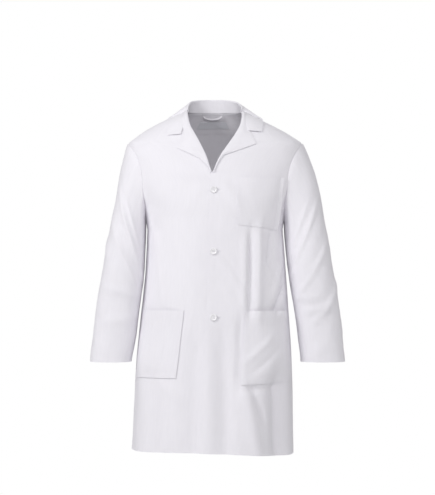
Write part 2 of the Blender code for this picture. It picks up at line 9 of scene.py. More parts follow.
import bmesh
import bpy
from mathutils import Vector, noise
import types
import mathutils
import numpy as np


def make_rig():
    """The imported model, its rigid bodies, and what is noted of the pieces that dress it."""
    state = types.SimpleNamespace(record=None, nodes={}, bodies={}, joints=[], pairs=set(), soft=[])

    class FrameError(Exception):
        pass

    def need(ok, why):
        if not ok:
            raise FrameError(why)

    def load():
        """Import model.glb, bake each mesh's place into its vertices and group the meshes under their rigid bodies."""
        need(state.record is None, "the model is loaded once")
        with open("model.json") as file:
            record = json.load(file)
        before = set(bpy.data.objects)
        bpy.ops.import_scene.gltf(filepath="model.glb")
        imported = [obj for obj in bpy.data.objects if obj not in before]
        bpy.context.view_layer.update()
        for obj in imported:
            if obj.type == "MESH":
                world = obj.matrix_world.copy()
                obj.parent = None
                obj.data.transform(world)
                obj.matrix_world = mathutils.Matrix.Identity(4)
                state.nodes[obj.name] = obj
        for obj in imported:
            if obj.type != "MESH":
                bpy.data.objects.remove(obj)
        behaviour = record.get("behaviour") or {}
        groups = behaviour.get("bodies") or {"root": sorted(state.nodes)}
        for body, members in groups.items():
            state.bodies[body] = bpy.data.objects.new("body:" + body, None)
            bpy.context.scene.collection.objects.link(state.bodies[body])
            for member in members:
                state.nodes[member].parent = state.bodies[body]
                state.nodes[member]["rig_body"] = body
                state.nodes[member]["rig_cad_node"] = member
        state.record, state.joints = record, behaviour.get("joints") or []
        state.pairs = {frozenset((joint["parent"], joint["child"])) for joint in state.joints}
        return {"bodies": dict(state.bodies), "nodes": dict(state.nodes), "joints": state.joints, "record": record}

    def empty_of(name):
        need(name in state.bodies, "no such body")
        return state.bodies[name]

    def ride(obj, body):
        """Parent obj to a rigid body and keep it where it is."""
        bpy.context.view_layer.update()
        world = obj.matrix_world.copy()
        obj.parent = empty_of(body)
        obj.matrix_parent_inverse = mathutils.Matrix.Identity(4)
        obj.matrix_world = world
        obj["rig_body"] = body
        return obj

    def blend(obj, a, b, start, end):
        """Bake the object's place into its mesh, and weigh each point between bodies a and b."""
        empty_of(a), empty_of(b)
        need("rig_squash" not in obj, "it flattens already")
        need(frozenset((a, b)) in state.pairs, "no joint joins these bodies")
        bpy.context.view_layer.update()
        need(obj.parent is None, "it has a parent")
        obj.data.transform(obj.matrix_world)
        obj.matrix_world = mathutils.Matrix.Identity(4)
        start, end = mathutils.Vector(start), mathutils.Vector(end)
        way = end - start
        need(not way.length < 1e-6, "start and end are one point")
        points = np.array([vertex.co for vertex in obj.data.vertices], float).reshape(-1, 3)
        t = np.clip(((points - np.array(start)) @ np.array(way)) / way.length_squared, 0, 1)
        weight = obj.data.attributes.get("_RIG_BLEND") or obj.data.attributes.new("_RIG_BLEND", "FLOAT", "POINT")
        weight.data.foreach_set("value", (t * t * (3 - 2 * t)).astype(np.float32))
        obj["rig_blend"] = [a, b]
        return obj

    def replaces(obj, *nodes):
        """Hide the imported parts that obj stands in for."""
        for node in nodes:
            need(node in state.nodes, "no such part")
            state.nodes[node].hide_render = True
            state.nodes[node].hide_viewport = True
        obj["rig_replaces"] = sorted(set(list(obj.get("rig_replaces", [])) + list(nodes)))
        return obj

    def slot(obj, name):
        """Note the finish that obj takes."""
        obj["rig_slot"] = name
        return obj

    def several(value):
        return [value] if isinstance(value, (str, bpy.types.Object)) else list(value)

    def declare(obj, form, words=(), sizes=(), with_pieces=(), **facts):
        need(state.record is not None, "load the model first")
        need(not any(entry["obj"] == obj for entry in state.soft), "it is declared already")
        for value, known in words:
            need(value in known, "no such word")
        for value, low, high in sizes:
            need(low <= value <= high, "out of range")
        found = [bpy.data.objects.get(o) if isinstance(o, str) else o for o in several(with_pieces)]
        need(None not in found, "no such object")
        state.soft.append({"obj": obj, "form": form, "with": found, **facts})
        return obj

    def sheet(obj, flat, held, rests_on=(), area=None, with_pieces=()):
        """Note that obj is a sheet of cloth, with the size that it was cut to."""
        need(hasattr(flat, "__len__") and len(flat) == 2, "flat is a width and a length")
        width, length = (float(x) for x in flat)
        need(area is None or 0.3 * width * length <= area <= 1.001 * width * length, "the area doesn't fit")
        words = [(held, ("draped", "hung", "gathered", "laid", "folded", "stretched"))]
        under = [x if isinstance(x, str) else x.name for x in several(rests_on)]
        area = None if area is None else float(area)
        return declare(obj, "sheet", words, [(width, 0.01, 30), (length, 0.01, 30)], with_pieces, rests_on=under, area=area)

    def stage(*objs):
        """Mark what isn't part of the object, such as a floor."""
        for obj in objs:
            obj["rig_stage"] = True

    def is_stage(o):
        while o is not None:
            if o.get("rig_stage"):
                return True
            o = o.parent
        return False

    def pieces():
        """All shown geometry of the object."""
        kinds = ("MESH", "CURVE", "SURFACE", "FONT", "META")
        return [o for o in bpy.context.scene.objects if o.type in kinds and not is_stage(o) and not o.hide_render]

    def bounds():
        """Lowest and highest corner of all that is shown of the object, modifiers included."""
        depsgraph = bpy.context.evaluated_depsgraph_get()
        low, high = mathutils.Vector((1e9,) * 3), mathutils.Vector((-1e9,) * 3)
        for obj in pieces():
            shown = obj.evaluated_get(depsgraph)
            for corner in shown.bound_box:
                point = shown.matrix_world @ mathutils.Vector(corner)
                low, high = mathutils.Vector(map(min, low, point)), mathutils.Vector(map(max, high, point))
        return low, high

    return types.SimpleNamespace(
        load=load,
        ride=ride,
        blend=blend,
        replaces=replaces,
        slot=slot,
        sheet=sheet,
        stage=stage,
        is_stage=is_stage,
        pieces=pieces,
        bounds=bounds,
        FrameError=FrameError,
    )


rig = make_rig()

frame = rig.load()
cad_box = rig.bounds()
print("frame loaded:", len(frame["nodes"]), "nodes")

# %% [markdown]
# The camera comes first, so that every later step can be looked at. A long lens from four metres
# keeps the coat's sides straight, as a shop's catalogue does. The floor and the world are pale and
# plain. The key light is large and comes from the upper left, so the cloth's right side is a
# little darker and the folds show without hard shadows.

# %% Camera, floor and light
VIEW_HEIGHT = 1.361
VIEW_CENTRE = (0.0138, -0.384)
CAMERA_DISTANCE = 4.0
SENSOR = 36.0
FLOOR_Z = -1.50


def look_at(obj, target):
    obj.rotation_euler = (Vector(target) - obj.location).to_track_quat("-Z", "Y").to_euler()


lens_data = bpy.data.cameras.new("camera")
lens_data.sensor_width = SENSOR
lens_data.lens = SENSOR * CAMERA_DISTANCE / VIEW_HEIGHT
camera = bpy.data.objects.new("camera", lens_data)
camera.location = (VIEW_CENTRE[0], -CAMERA_DISTANCE - 0.07, VIEW_CENTRE[1])
look_at(camera, (VIEW_CENTRE[0], 0, VIEW_CENTRE[1]))
bpy.context.collection.objects.link(camera)
bpy.context.scene.camera = camera
bpy.context.scene.view_settings.view_transform = "Standard"


def area_light(name, place, target, size, power, colour=(1, 1, 1)):
    data = bpy.data.lights.new(name, "AREA")
    data.shape = "DISK"
    data.size = size
    data.energy = power
    data.color = colour
    lamp = bpy.data.objects.new(name, data)
    lamp.location = place
    look_at(lamp, target)
    bpy.context.collection.objects.link(lamp)


area_light("key_light", (-2.5, -2.0, 1.1), (0, 0, -0.50), 1.1, 50)
area_light("front_light", (0.4, -3.3, 1.2), (0, 0, -0.30), 1.2, 34)
area_light("fill_light", (2.3, -2.0, 1.5), (0.1, 0, -0.1), 1.6, 12)
area_light("back_light", (0.5, 3.0, 1.6), (0, 0, -0.4), 2.0, 30)

world = bpy.data.worlds.new("pale_room")
world.use_nodes = True
room = world.node_tree.nodes["Background"]
room.inputs["Color"].default_value = (1.0, 1.0, 1.0, 1.0)
path = world.node_tree.nodes.new("ShaderNodeLightPath")
seen = world.node_tree.nodes.new("ShaderNodeMapRange")
seen.inputs["To Min"].default_value = 0.39
seen.inputs["To Max"].default_value = 1.0
world.node_tree.links.new(path.outputs["Is Camera Ray"], seen.inputs["Value"])
world.node_tree.links.new(seen.outputs["Result"], room.inputs["Strength"])
bpy.context.scene.world = world

bpy.ops.mesh.primitive_plane_add(size=4.0, location=(0, 0.2, FLOOR_Z))
floor = bpy.context.object
floor.name = "floor"
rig.stage(floor)
print("camera", tuple(round(v, 3) for v in camera.location), "lens", round(lens_data.lens, 1), "mm")

# %% [markdown]
# The cloth finishes. A lab coat is bleached poly-cotton twill: fine diagonal ribs about half a
# millimetre apart, with slightly uneven yarns. Both cloths use the same weave, so it is one node
# group that puts out a height and a shade, and each material places it with its own values. The
# pattern follows the cloth's own UV map, which is in metres along the grain.

# %% Weave node group
def add_node(nodes, kind, **values):
    """A new node with its sockets' values set; a socket's spaces are written as underscores."""
    node = nodes.new(kind)
    for socket, value in values.items():
        node.inputs[socket.replace("_", " ")].default_value = value
    return node


def group_socket(group, name, way, kind, value=None):
    socket = group.interface.new_socket(name=name, in_out=way, socket_type=kind)
    if value is not None:
        socket.default_value = value


def weave_group():
    group = bpy.data.node_groups.new("twill_weave", "ShaderNodeTree")
    group_socket(group, "Rib Scale", "INPUT", "NodeSocketFloat", 1500.0)
    group_socket(group, "Slub Scale", "INPUT", "NodeSocketFloat", 160.0)
    group_socket(group, "Height", "OUTPUT", "NodeSocketFloat")
    group_socket(group, "Shade", "OUTPUT", "NodeSocketFloat")
    nodes, links = group.nodes, group.links
    inside = nodes.new("NodeGroupInput")
    outside = nodes.new("NodeGroupOutput")
    coords = nodes.new("ShaderNodeTexCoord")
    ribs = add_node(nodes, "ShaderNodeTexWave", Distortion=1.2, Detail=1.0)
    ribs.wave_type = "BANDS"
    ribs.bands_direction = "DIAGONAL"
    slubs = add_node(nodes, "ShaderNodeTexNoise", Detail=3.0)
    stretch = add_node(nodes, "ShaderNodeMapping", Scale=(1.0, 0.12, 1.0))
    mix = nodes.new("ShaderNodeMath")
    mix.operation = "MULTIPLY_ADD"
    mix.inputs[1].default_value = 0.55
    links.new(coords.outputs["UV"], ribs.inputs["Vector"])
    links.new(inside.outputs["Rib Scale"], ribs.inputs["Scale"])
    links.new(coords.outputs["UV"], stretch.inputs["Vector"])
    links.new(stretch.outputs["Vector"], slubs.inputs["Vector"])
    links.new(inside.outputs["Slub Scale"], slubs.inputs["Scale"])
    links.new(slubs.outputs["Fac"], mix.inputs[0])
    links.new(ribs.outputs["Fac"], mix.inputs[2])
    links.new(mix.outputs["Value"], outside.inputs["Height"])
    links.new(slubs.outputs["Fac"], outside.inputs["Shade"])
    return group


TWILL = weave_group()


def finish_material(name, colour, roughness, sheen=0.0, weave=None, bump=0.0, shade=0.03):
    """A Principled finish; with weave values it gets the twill's ribs and uneven yarn shade."""
    made = bpy.data.materials.new(name)
    made.use_nodes = True
    nodes, links = made.node_tree.nodes, made.node_tree.links
    shader = nodes["Principled BSDF"]
    shader.inputs["Base Color"].default_value = (*colour, 1.0)
    shader.inputs["Roughness"].default_value = roughness
    shader.inputs["Sheen Weight"].default_value = sheen
    shader.inputs["Sheen Roughness"].default_value = 0.5
    if weave:
        twill = nodes.new("ShaderNodeGroup")
        twill.node_tree = TWILL
        twill.inputs["Rib Scale"].default_value, twill.inputs["Slub Scale"].default_value = weave
        tint = nodes.new("ShaderNodeMix")
        tint.data_type = "RGBA"
        tint.inputs["A"].default_value = (*[c * (1 - shade) for c in colour], 1.0)
        tint.inputs["B"].default_value = (*[min(1.0, c * (1 + shade)) for c in colour], 1.0)
        rough = add_node(nodes, "ShaderNodeMapRange", To_Min=roughness - 0.06,
                         To_Max=roughness + 0.06)
        relief = add_node(nodes, "ShaderNodeBump", Distance=bump, Strength=0.6)
        links.new(twill.outputs["Shade"], tint.inputs["Factor"])
        links.new(tint.outputs["Result"], shader.inputs["Base Color"])
        links.new(twill.outputs["Height"], rough.inputs["Value"])
        links.new(rough.outputs["Result"], shader.inputs["Roughness"])
        links.new(twill.outputs["Height"], relief.inputs["Height"])
        links.new(relief.outputs["Normal"], shader.inputs["Normal"])
    return made


COAT_CLOTH = finish_material("coat_twill", (0.850, 0.832, 0.880), 0.78, 0.12, (1500, 160), 0.00012)
LINING_CLOTH = finish_material("inside_twill", (0.830, 0.812, 0.860), 0.85, 0.10, (1500, 160),
                               0.00012)
INTERFACING = finish_material("interfacing", (0.70, 0.71, 0.73), 0.9, 0.0, (900, 90), 0.0002)
LABEL_TAPE = finish_material("label_tape", (0.74, 0.745, 0.79), 0.55, 0.2, (2200, 240), 0.0001)
THREAD = finish_material("sewing_thread", (0.845, 0.830, 0.875), 0.6, 0.3, (3000, 400), 0.00005)
BUTTON_PLASTIC = finish_material("button_plastic", (0.86, 0.85, 0.875), 0.32, 0.0, (60, 40), 0.00002)
floor.data.materials.append(finish_material("floor_paint", (0.86, 0.86, 0.86), 0.9))
print("finishes ready")

# %% [markdown]
# The body surface is the shape of a worn coat without folds: at each height it is a rounded
# rectangle, wider at the hem and drawn in to the shoulders and the neck. Everything sewn to the
# body is placed by a turn about the body (0 at the centre front, a quarter turn at the wearer's
# left side) and a height, so layers that belong together stay together.

# %% Body surface
COAT_LENGTH = 0.955
NECK_Z, SHOULDER_TIP_Z, UNDERARM_Z, BREAK_Z = -0.005, -0.095, -0.300, -0.178
NECK_HALF_WIDTH, SHOULDER_HALF_WIDTH = 0.078, 0.245
CHEST_HALF_WIDTH, HEM_HALF_WIDTH = 0.183, 0.228
FRONT_NECK_DEPTH, BACK_NECK_DEPTH = 0.045, 0.060
CHEST_HALF_DEPTH, HEM_HALF_DEPTH = 0.130, 0.150
SQUARENESS = 0.85
ARMHOLE_HALF_DEPTH = 0.075
MEAN_RADIUS = 0.19
VENT_TOP_Z, VENT_WIDTH = -0.640, 0.040


def smooth(t):
    t = min(1.0, max(0.0, t))
    return t * t * (3.0 - 2.0 * t)


def bell(x):
    return math.exp(-x * x)


def along(points, at):
    """Read a value from (position, value) pairs that rise in position."""
    if at <= points[0][0]:
        return points[0][1]
    for (a, value_a), (b, value_b) in zip(points, points[1:]):
        if at <= b:
            return value_a + (value_b - value_a) * (at - a) / (b - a)
    return points[-1][1]


# Height of the hem above the lowest line, from the wearer's right side round to the left.
FRONT_HEM_RISE = [(-1, 0.011), (-0.4, 0.0165), (0, 0.014), (0.5, 0.007), (1, -0.002)]
BACK_HEM_RISE = [(-1, 0.011), (0, 0.006), (1, -0.002)]


def hem_rise(turn):
    table = FRONT_HEM_RISE if math.cos(turn) > 0 else BACK_HEM_RISE
    return sum(along(table, math.sin(turn) + step) for step in (-0.15, -0.05, 0.05, 0.15)) / 4


def signed_power(value, exponent):
    return math.copysign(abs(value) ** exponent, value)


def half_width(z):
    """The plain half width, evened out at the underarm where its slope changes."""
    near = 0.045 * bell((z - UNDERARM_Z) / 0.075)
    return sum(plain_half_width(z + near * step) for step in (-1, -0.5, 0, 0.5, 1)) / 5


def plain_half_width(z):
    if z <= UNDERARM_Z:
        f = (UNDERARM_Z - z) / (UNDERARM_Z + COAT_LENGTH)
        flare = f + 0.06 * math.sin(math.pi * f)
        return CHEST_HALF_WIDTH + (HEM_HALF_WIDTH - CHEST_HALF_WIDTH) * flare
    if z <= SHOULDER_TIP_Z:
        g = (z - UNDERARM_Z) / (SHOULDER_TIP_Z - UNDERARM_Z)
        return CHEST_HALF_WIDTH + (SHOULDER_HALF_WIDTH - CHEST_HALF_WIDTH) * (1 - (1 - g) ** 2.2)
    h = min(1.0, (z - SHOULDER_TIP_Z) / (NECK_Z - SHOULDER_TIP_Z))
    straight = SHOULDER_HALF_WIDTH + (NECK_HALF_WIDTH - SHOULDER_HALF_WIDTH) * h
    return straight + 0.015 * math.sin(math.pi * h)


# How much wider or narrower than the plain shape the worn coat is at each height, left and right.
WIDTH_TRIM = {1: [(-0.955, 0.98), (-0.80, 1.01), (-0.69, 1.035), (-0.56, 1.035), (-0.43, 1.05),
                  (-0.30, 1.055), (-0.20, 1.045), (-0.095, 1.032), (-0.005, 1.0)],
              -1: [(-0.955, 0.99), (-0.70, 1.0), (-0.56, 0.978), (-0.43, 0.955), (-0.30, 0.985),
                   (-0.20, 0.975), (-0.095, 0.955), (-0.005, 1.0)]}


def trimmed(point):
    """The point drawn out or in to the width of its own side."""
    low = point.z
    table = WIDTH_TRIM[1 if point.x > 0 else -1]
    point.x *= sum(along(table, low + step) for step in (-0.05, -0.025, 0, 0.025, 0.05)) / 5
    return point


def half_depth(z, back):
    if z <= UNDERARM_Z:
        f = (UNDERARM_Z - z) / (UNDERARM_Z + COAT_LENGTH)
        return CHEST_HALF_DEPTH + (HEM_HALF_DEPTH - CHEST_HALF_DEPTH) * f
    k = min(1.0, (z - UNDERARM_Z) / (NECK_Z - UNDERARM_Z))
    if back:
        return BACK_NECK_DEPTH + (CHEST_HALF_DEPTH - BACK_NECK_DEPTH) * (1 - k ** 3.0)
    return FRONT_NECK_DEPTH + (CHEST_HALF_DEPTH - FRONT_NECK_DEPTH) * (1 - k ** 2.4)


def skin(turn, z):
    depth = half_depth(z, math.cos(turn) < 0)
    return Vector((half_width(z) * signed_power(math.sin(turn), SQUARENESS),
                   -depth * signed_power(math.cos(turn), SQUARENESS), z))


def skin_normal(turn, z, step=0.002):
    across = skin(turn + step, z) - skin(turn - step, z)
    upward = skin(turn, z + step) - skin(turn, z - step)
    return across.cross(upward).normalized()


def turn_at(x, z):
    share = max(-1.0, min(1.0, x / half_width(z)))
    return math.asin(signed_power(share, 1 / SQUARENESS))


def armhole_depth(z):
    middle = (SHOULDER_TIP_Z + UNDERARM_Z) / 2
    reach = (SHOULDER_TIP_Z - UNDERARM_Z) / 2
    return ARMHOLE_HALF_DEPTH * math.sqrt(max(0.0, 1 - ((z - middle) / reach) ** 2))


def side_turn(z, back=False):
    """The turn of the side seam, the armhole edge or the shoulder seam at this height."""
    if UNDERARM_Z < z < SHOULDER_TIP_Z:
        share = (armhole_depth(z) / half_depth(z, back)) ** (1 / SQUARENESS)
        return math.acos(min(1.0, share))
    return math.pi / 2


print("chest", round(2 * half_width(UNDERARM_Z), 3), "m wide")
print("hem", round(2 * half_width(-COAT_LENGTH), 3), "m wide")

# %% [markdown]
# Cloth falls in folds where it hangs from a point and has spare width. Each fold here is a soft
# ridge or valley along a line on the cloth, strongest in the middle and fading at its ends. Long
# flutes run down the skirt, and a slow unevenness keeps the rest from looking pressed flat. A
# simulated drape would find folds of its own, so these are drawn. All layers read the same field,
# so pockets, facings and stitches ride the folds.

# %% Folds of the body cloth
# (x, z) of the start, (x, z) of the end, width and height of each fold, in metres; a height below
# zero is a valley.
FRONT_FOLDS = [
    (0.0985, -0.35, 0.097, -0.556, 0.0065, -0.0075), (0.084, -0.37, 0.083, -0.556, 0.011, 0.0032),
    (0.122, -0.33, 0.12, -0.556, 0.0115, 0.0062), (0.156, -0.35, 0.148, -0.43, 0.016, -0.009),
    (0.178, -0.43, 0.158, -0.525, 0.014, 0.004), (0.186, -0.5, 0.163, -0.56, 0.011, -0.007),
    (0.021, -0.415, 0.088, -0.525, 0.006, 0.0016), (0.03, -0.41, 0.096, -0.5, 0.009, -0.0014),
    (0.012, -0.19, 0.075, -0.29, 0.012, 0.0022), (0.03, -0.19, 0.1, -0.265, 0.012, -0.0016),
    (-0.012, -0.2, -0.095, -0.33, 0.013, 0.0012), (0.195, -0.2, 0.17, -0.335, 0.01, 0.003),
    (-0.198, -0.195, -0.172, -0.34, 0.011, 0.003), (-0.165, -0.33, -0.14, -0.52, 0.017, 0.0018),
    (-0.12, -0.38, -0.085, -0.545, 0.018, -0.0012), (-0.008, -0.6, -0.013, -0.96, 0.015, 0.005),
    (0.026, -0.64, 0.038, -0.96, 0.018, -0.008), (-0.045, -0.64, -0.052, -0.96, 0.024, -0.008),
    (0.088, -0.775, 0.128, -0.96, 0.02, 0.009), (0.1, -0.755, 0.14, -0.85, 0.009, -0.0048),
    (0.176, -0.735, 0.19, -0.97, 0.04, -0.026), (0.088, -0.693, 0.153, -0.628, 0.01, 0.0028),
    (0.1, -0.73, 0.17, -0.66, 0.011, -0.0026), (0.074, -0.575, 0.068, -0.765, 0.0075, -0.005),
    (0.09, -0.768, 0.19, -0.766, 0.008, -0.0045), (-0.12, -0.76, -0.11, -0.96, 0.025, 0.0022),
    (-0.175, -0.78, -0.18, -0.96, 0.022, 0.003), (-0.15, -0.745, -0.085, -0.8, 0.012, 0.0012),
]
# The same for the back, with the distance from the centre-back seam along the cloth.
BACK_FOLDS = [
    (0.15, -0.14, 0.06, -0.3, 0.016, 0.0035), (-0.15, -0.14, -0.06, -0.3, 0.016, 0.0035),
    (0.17, -0.26, 0.11, -0.42, 0.014, 0.004), (-0.17, -0.26, -0.1, -0.43, 0.014, 0.004),
    (0.06, -0.38, 0.075, -0.9, 0.02, 0.0055), (-0.065, -0.36, -0.08, -0.91, 0.02, 0.005),
    (0.15, -0.42, 0.175, -0.93, 0.019, 0.005), (-0.15, -0.43, -0.17, -0.93, 0.019, 0.0055),
    (0.02, -0.44, -0.03, -0.58, 0.016, 0.0025), (0.105, -0.35, 0.12, -0.62, 0.014, 0.003),
    (-0.11, -0.35, -0.125, -0.64, 0.014, 0.003),
]


def fold_lift(s, z, folds):
    """Height of a list of folds at a point (s, z) of the flat cloth."""
    total = 0.0
    for s0, z0, s1, z1, width, height in folds:
        ds, dz = s1 - s0, z1 - z0
        length = math.hypot(ds, dz)
        t = ((s - s0) * ds + (z - z0) * dz) / (length * length)
        if t < -0.25 or t > 1.25:
            continue
        d = ((s - s0) * dz - (z - z0) * ds) / length / width
        if abs(d) > 4:
            continue
        total += height * smooth((t + 0.25) / 0.45) * smooth((1.25 - t) / 0.45) * bell(d)
    return total


FRONT_ARCS = [(turn_at(x0, z0) * MEAN_RADIUS, z0, turn_at(x1, z1) * MEAN_RADIUS, z1, w, h)
              for x0, z0, x1, z1, w, h in FRONT_FOLDS]


def drape(turn, z):
    """How far the folds lift the body cloth at this turn and height."""
    s = turn * MEAN_RADIUS
    wrapped = (turn % (2 * math.pi)) - math.pi
    lift = fold_lift(s, z, FRONT_ARCS) if abs(turn) < 1.9 else 0.0
    if abs(wrapped) < 1.7:
        lift += fold_lift(-wrapped * MEAN_RADIUS, z, BACK_FOLDS)
    low = smooth((-0.42 - z) / 0.5)
    side = smooth(abs(math.sin(turn)) * 1.3 - 0.15)
    around = turn % (2 * math.pi)
    flutes = math.sin(around * 9 + 0.8 * math.sin(around * 2)) + 0.6 * math.sin(around * 14 + z * 3)
    lift += 0.0020 * low * flutes * (0.12 + 0.88 * side)
    point = skin(turn, z)
    slow = noise.noise(Vector((point.x * 9, point.y * 9, z * 5)))
    crisp = noise.noise(Vector((point.x * 30 + z * 9, point.y * 30, z * 17)))
    lift += 0.0022 * slow + 0.0005 * crisp
    return lift * smooth((NECK_Z + 0.002 - z) / 0.12)


SEAM_DEPTH, SEAM_WIDTH, SEAM_LAP = 0.0007, 0.0045, 0.004


def seam_dip(turn, z):
    """The shallow valley along the side, shoulder and armhole seams and down the centre back."""
    back = math.cos(turn) < 0
    folded = abs(((turn + math.pi) % (2 * math.pi)) - math.pi)
    edge = side_turn(z, back)
    edge = math.pi - edge if back else edge
    gap = abs(folded - edge) * MEAN_RADIUS
    dip = bell(gap / SEAM_WIDTH)
    if back:
        above_vent = smooth((z - VENT_TOP_Z + 0.02) / 0.04)
        dip += 1.6 * bell((math.pi - folded) * MEAN_RADIUS / SEAM_WIDTH) * above_vent
    return -SEAM_DEPTH * dip


def on_body(turn, z, out=0.0):
    """A point of the draped body cloth, out metres proud of it."""
    lift = out + drape(turn, z) + seam_dip(turn, z)
    return trimmed(skin(turn, z) + skin_normal(turn, z) * lift)


# %% [markdown]
# A cloth piece starts as a grid primitive. Its points are moved onto the surface that the piece
# follows, its UV map is rewritten in metres along the grain, and a Solidify modifier gives it the
# thickness of the cloth. Its area is measured on the grid before the thickness is added, so it is
# the area of the one layer that was cut.

# %% Cloth maker
CLOTH = 0.0008
PITCH = 0.0065


def tidy_selection():
    if bpy.context.object and bpy.context.object.mode != "OBJECT":
        bpy.ops.object.mode_set(mode="OBJECT")
    bpy.ops.object.select_all(action="DESELECT")


def apply_modifiers(obj):
    tidy_selection()
    obj.select_set(True)
    bpy.context.view_layer.objects.active = obj
    for modifier in list(obj.modifiers):
        bpy.ops.object.modifier_apply(modifier=modifier.name)


def dress(obj, material, slot, body="root", other=None, span=None):
    """Give a finished piece its finish, its record slot and the body or bodies it moves with."""
    obj.data.materials.clear()
    obj.data.materials.append(material)
    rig.slot(obj, slot)
    if other:
        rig.blend(obj, body, other, *span)
    else:
        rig.ride(obj, body)
    return obj


def cloth(name, place, size, closed=False, thickness=CLOTH, pitch=PITCH):
    """A sheet on place(u, v); its width and length in metres set its grid and UVs."""
    tidy_selection()
    columns = max(2, round(size[0] / pitch))
    rows = max(2, round(size[1] / pitch))
    bpy.ops.mesh.primitive_grid_add(x_subdivisions=columns, y_subdivisions=rows, size=2)
    obj = bpy.context.object
    obj.name = obj.data.name = name
    mesh = obj.data
    shares = [((v.co.x + 1) / 2, (v.co.y + 1) / 2) for v in mesh.vertices]
    for loop, uv in zip(mesh.loops, mesh.uv_layers[0].data):
        u, v = shares[loop.vertex_index]
        uv.uv = (u * size[0], v * size[1])
    for vertex, (u, v) in zip(mesh.vertices, shares):
        vertex.co = place(u, v)
    if closed:
        work = bmesh.new()
        work.from_mesh(mesh)
        bmesh.ops.remove_doubles(work, verts=work.verts, dist=0.00005)
        work.to_mesh(mesh)
        work.free()
    area = sum(face.area for face in mesh.polygons)
    wall = obj.modifiers.new("cloth_thickness", "SOLIDIFY")
    wall.thickness = thickness
    wall.offset = 0.0
    apply_modifiers(obj)
    bpy.ops.object.shade_smooth_by_angle(angle=math.radians(50))
    print(name, len(mesh.vertices), "points,", round(area, 4), "m2")
    return obj, area


LEAST_AREA_SHARE = 0.31


def declare(obj, size, area, held, rests_on=(), with_pieces=()):
    """The sheet's cut size, with its area where the cut isn't a rectangle."""
    box = size[0] * size[1]
    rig.sheet(obj, flat=size, held=held, rests_on=list(rests_on),
             area=min(box, max(LEAST_AREA_SHARE * box, area)), with_pieces=list(with_pieces))


def plain_sheet(name, place, size, replaced, finish, slot, move=(), held="hung", flat=None, **make):
    """A sheet with nothing sewn on it: made, finished and declared."""
    sheet, area = cloth(name, place, size, **make)
    dress(sheet, finish, slot, *move)
    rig.replaces(sheet, *replaced)
    declare(sheet, flat or size, area, held)

# %% [markdown]
# Topstitching is what makes workwear read as workwear. Each stitch is one small lozenge laid
# along its line, about three millimetres from the next. A line is a list of points on the cloth,
# and all the stitches of one cloth piece are one object that bends with it.

# %% Stitch maker
STITCH, STITCH_GAP, STITCH_RADIUS = 0.0026, 0.0010, 0.00028


def mesh_object(name, work):
    """Turn an edited mesh into an object of its own."""
    bmesh.ops.recalc_face_normals(work, faces=work.faces)
    mesh = bpy.data.meshes.new(name)
    work.to_mesh(mesh)
    work.free()
    mesh.uv_layers.new(name="UVMap")
    obj = bpy.data.objects.new(name, mesh)
    bpy.context.collection.objects.link(obj)
    return obj


def stitches(name, lines, move=(), length=STITCH):
    """One mesh of lozenge stitches along each line of (point, normal) pairs."""
    work = bmesh.new()
    for points in lines:
        travelled = following = 0.0
        for (a, normal), (b, _) in zip(points, points[1:]):
            step = (b - a).length
            while following + length <= travelled + step and step > 0:
                start = a.lerp(b, (following - travelled) / step)
                end = a.lerp(b, (following - travelled + length) / step)
                side = (end - start).cross(normal).normalized() * STITCH_RADIUS
                top = normal * STITCH_RADIUS
                middle = (start + end) / 2
                ring = [work.verts.new(middle + d) for d in (side, top, -side, -top)]
                tips = (work.verts.new(start), work.verts.new(end))
                for i in range(4):
                    work.faces.new((ring[i], ring[(i + 1) % 4], tips[0]))
                    work.faces.new((ring[(i + 1) % 4], ring[i], tips[1]))
                following += length + STITCH_GAP
            travelled += step
            following = max(following, travelled)
    obj = mesh_object(name, work)
    print(name, len(obj.data.polygons) // 8, "stitches")
    return dress(obj, THREAD, "thread", *move)


def stitch_path(place, start, end, count=None):
    """Points and outward normals along a straight line of a (u, v) place function."""
    count = count or max(2, round(math.dist(place(*start), place(*end)) / 0.008))
    path = []
    for i in range(count + 1):
        t = i / count
        point = place(start[0] + (end[0] - start[0]) * t, start[1] + (end[1] - start[1]) * t)
        outward = Vector((point.x, point.y, 0))
        path.append((point, outward.normalized() if outward.length > 0.02 else Vector((0, -1, 0))))
    return path


# %% [markdown]
# The two fronts. The wearer's left front lies on top and its free edge drifts a little to the
# wearer's right towards the hem. The right front runs on four centimetres behind it. Above the
# break both are bounded by the lapel's roll line. Below the last button each front's corner can
# swing open, so the cloth bends between the two bodies there.

# %% Fronts
FRONT_OVERLAP = 0.040
LAP_DROP, EDGE_DROP = 0.0026, 0.0010
FRONT_EDGE = [(-0.955, -0.046), (-0.770, -0.032), (-0.573, -0.017), (-0.394, -0.013),
              (-0.213, -0.009), (BREAK_Z, -0.003)]
ROLL_LINE = [(BREAK_Z, 0.001), (-0.136, 0.0170), (-0.116, 0.0285), (-0.101, 0.0375),
             (-0.0824, 0.0490), (-0.067, 0.0580), (-0.0478, 0.0690), (-0.015, 0.0750), (0.000, 0.0760)]
NECK_SHIFT = 0.006
STITCH_LIFT, HEM_ROW = 0.0006, 0.026
AHEAD = Vector((0, -1, 0))
WORDS = {1: "left", -1: "right"}
# The two bodies that each front bends between, and where the bend starts and ends.
CORNERS = {1: ("root", "left_corner", ((0.068, -0.1405, -0.7775), (-0.0307, -0.1405, -0.8261))),
           -1: ("root", "right_corner", ((-0.0708, -0.1415, -0.8215), (0.0134, -0.1415, -0.8754)))}


def front_edge(side, z):
    edge = along(FRONT_EDGE, z)
    if side > 0:
        return edge
    return -(edge + FRONT_OVERLAP) * smooth((BREAK_Z - z) / 0.035)


def neck_shift(side, z):
    """The worn neck sits a little to the wearer's left."""
    return side * NECK_SHIFT * smooth((z + 0.165) / 0.10)


def roll_x(side, z):
    """The lapel's roll line."""
    line = sum(along(ROLL_LINE, z + step) for step in (-0.008, 0.0, 0.008)) / 3
    return line + neck_shift(side, z)


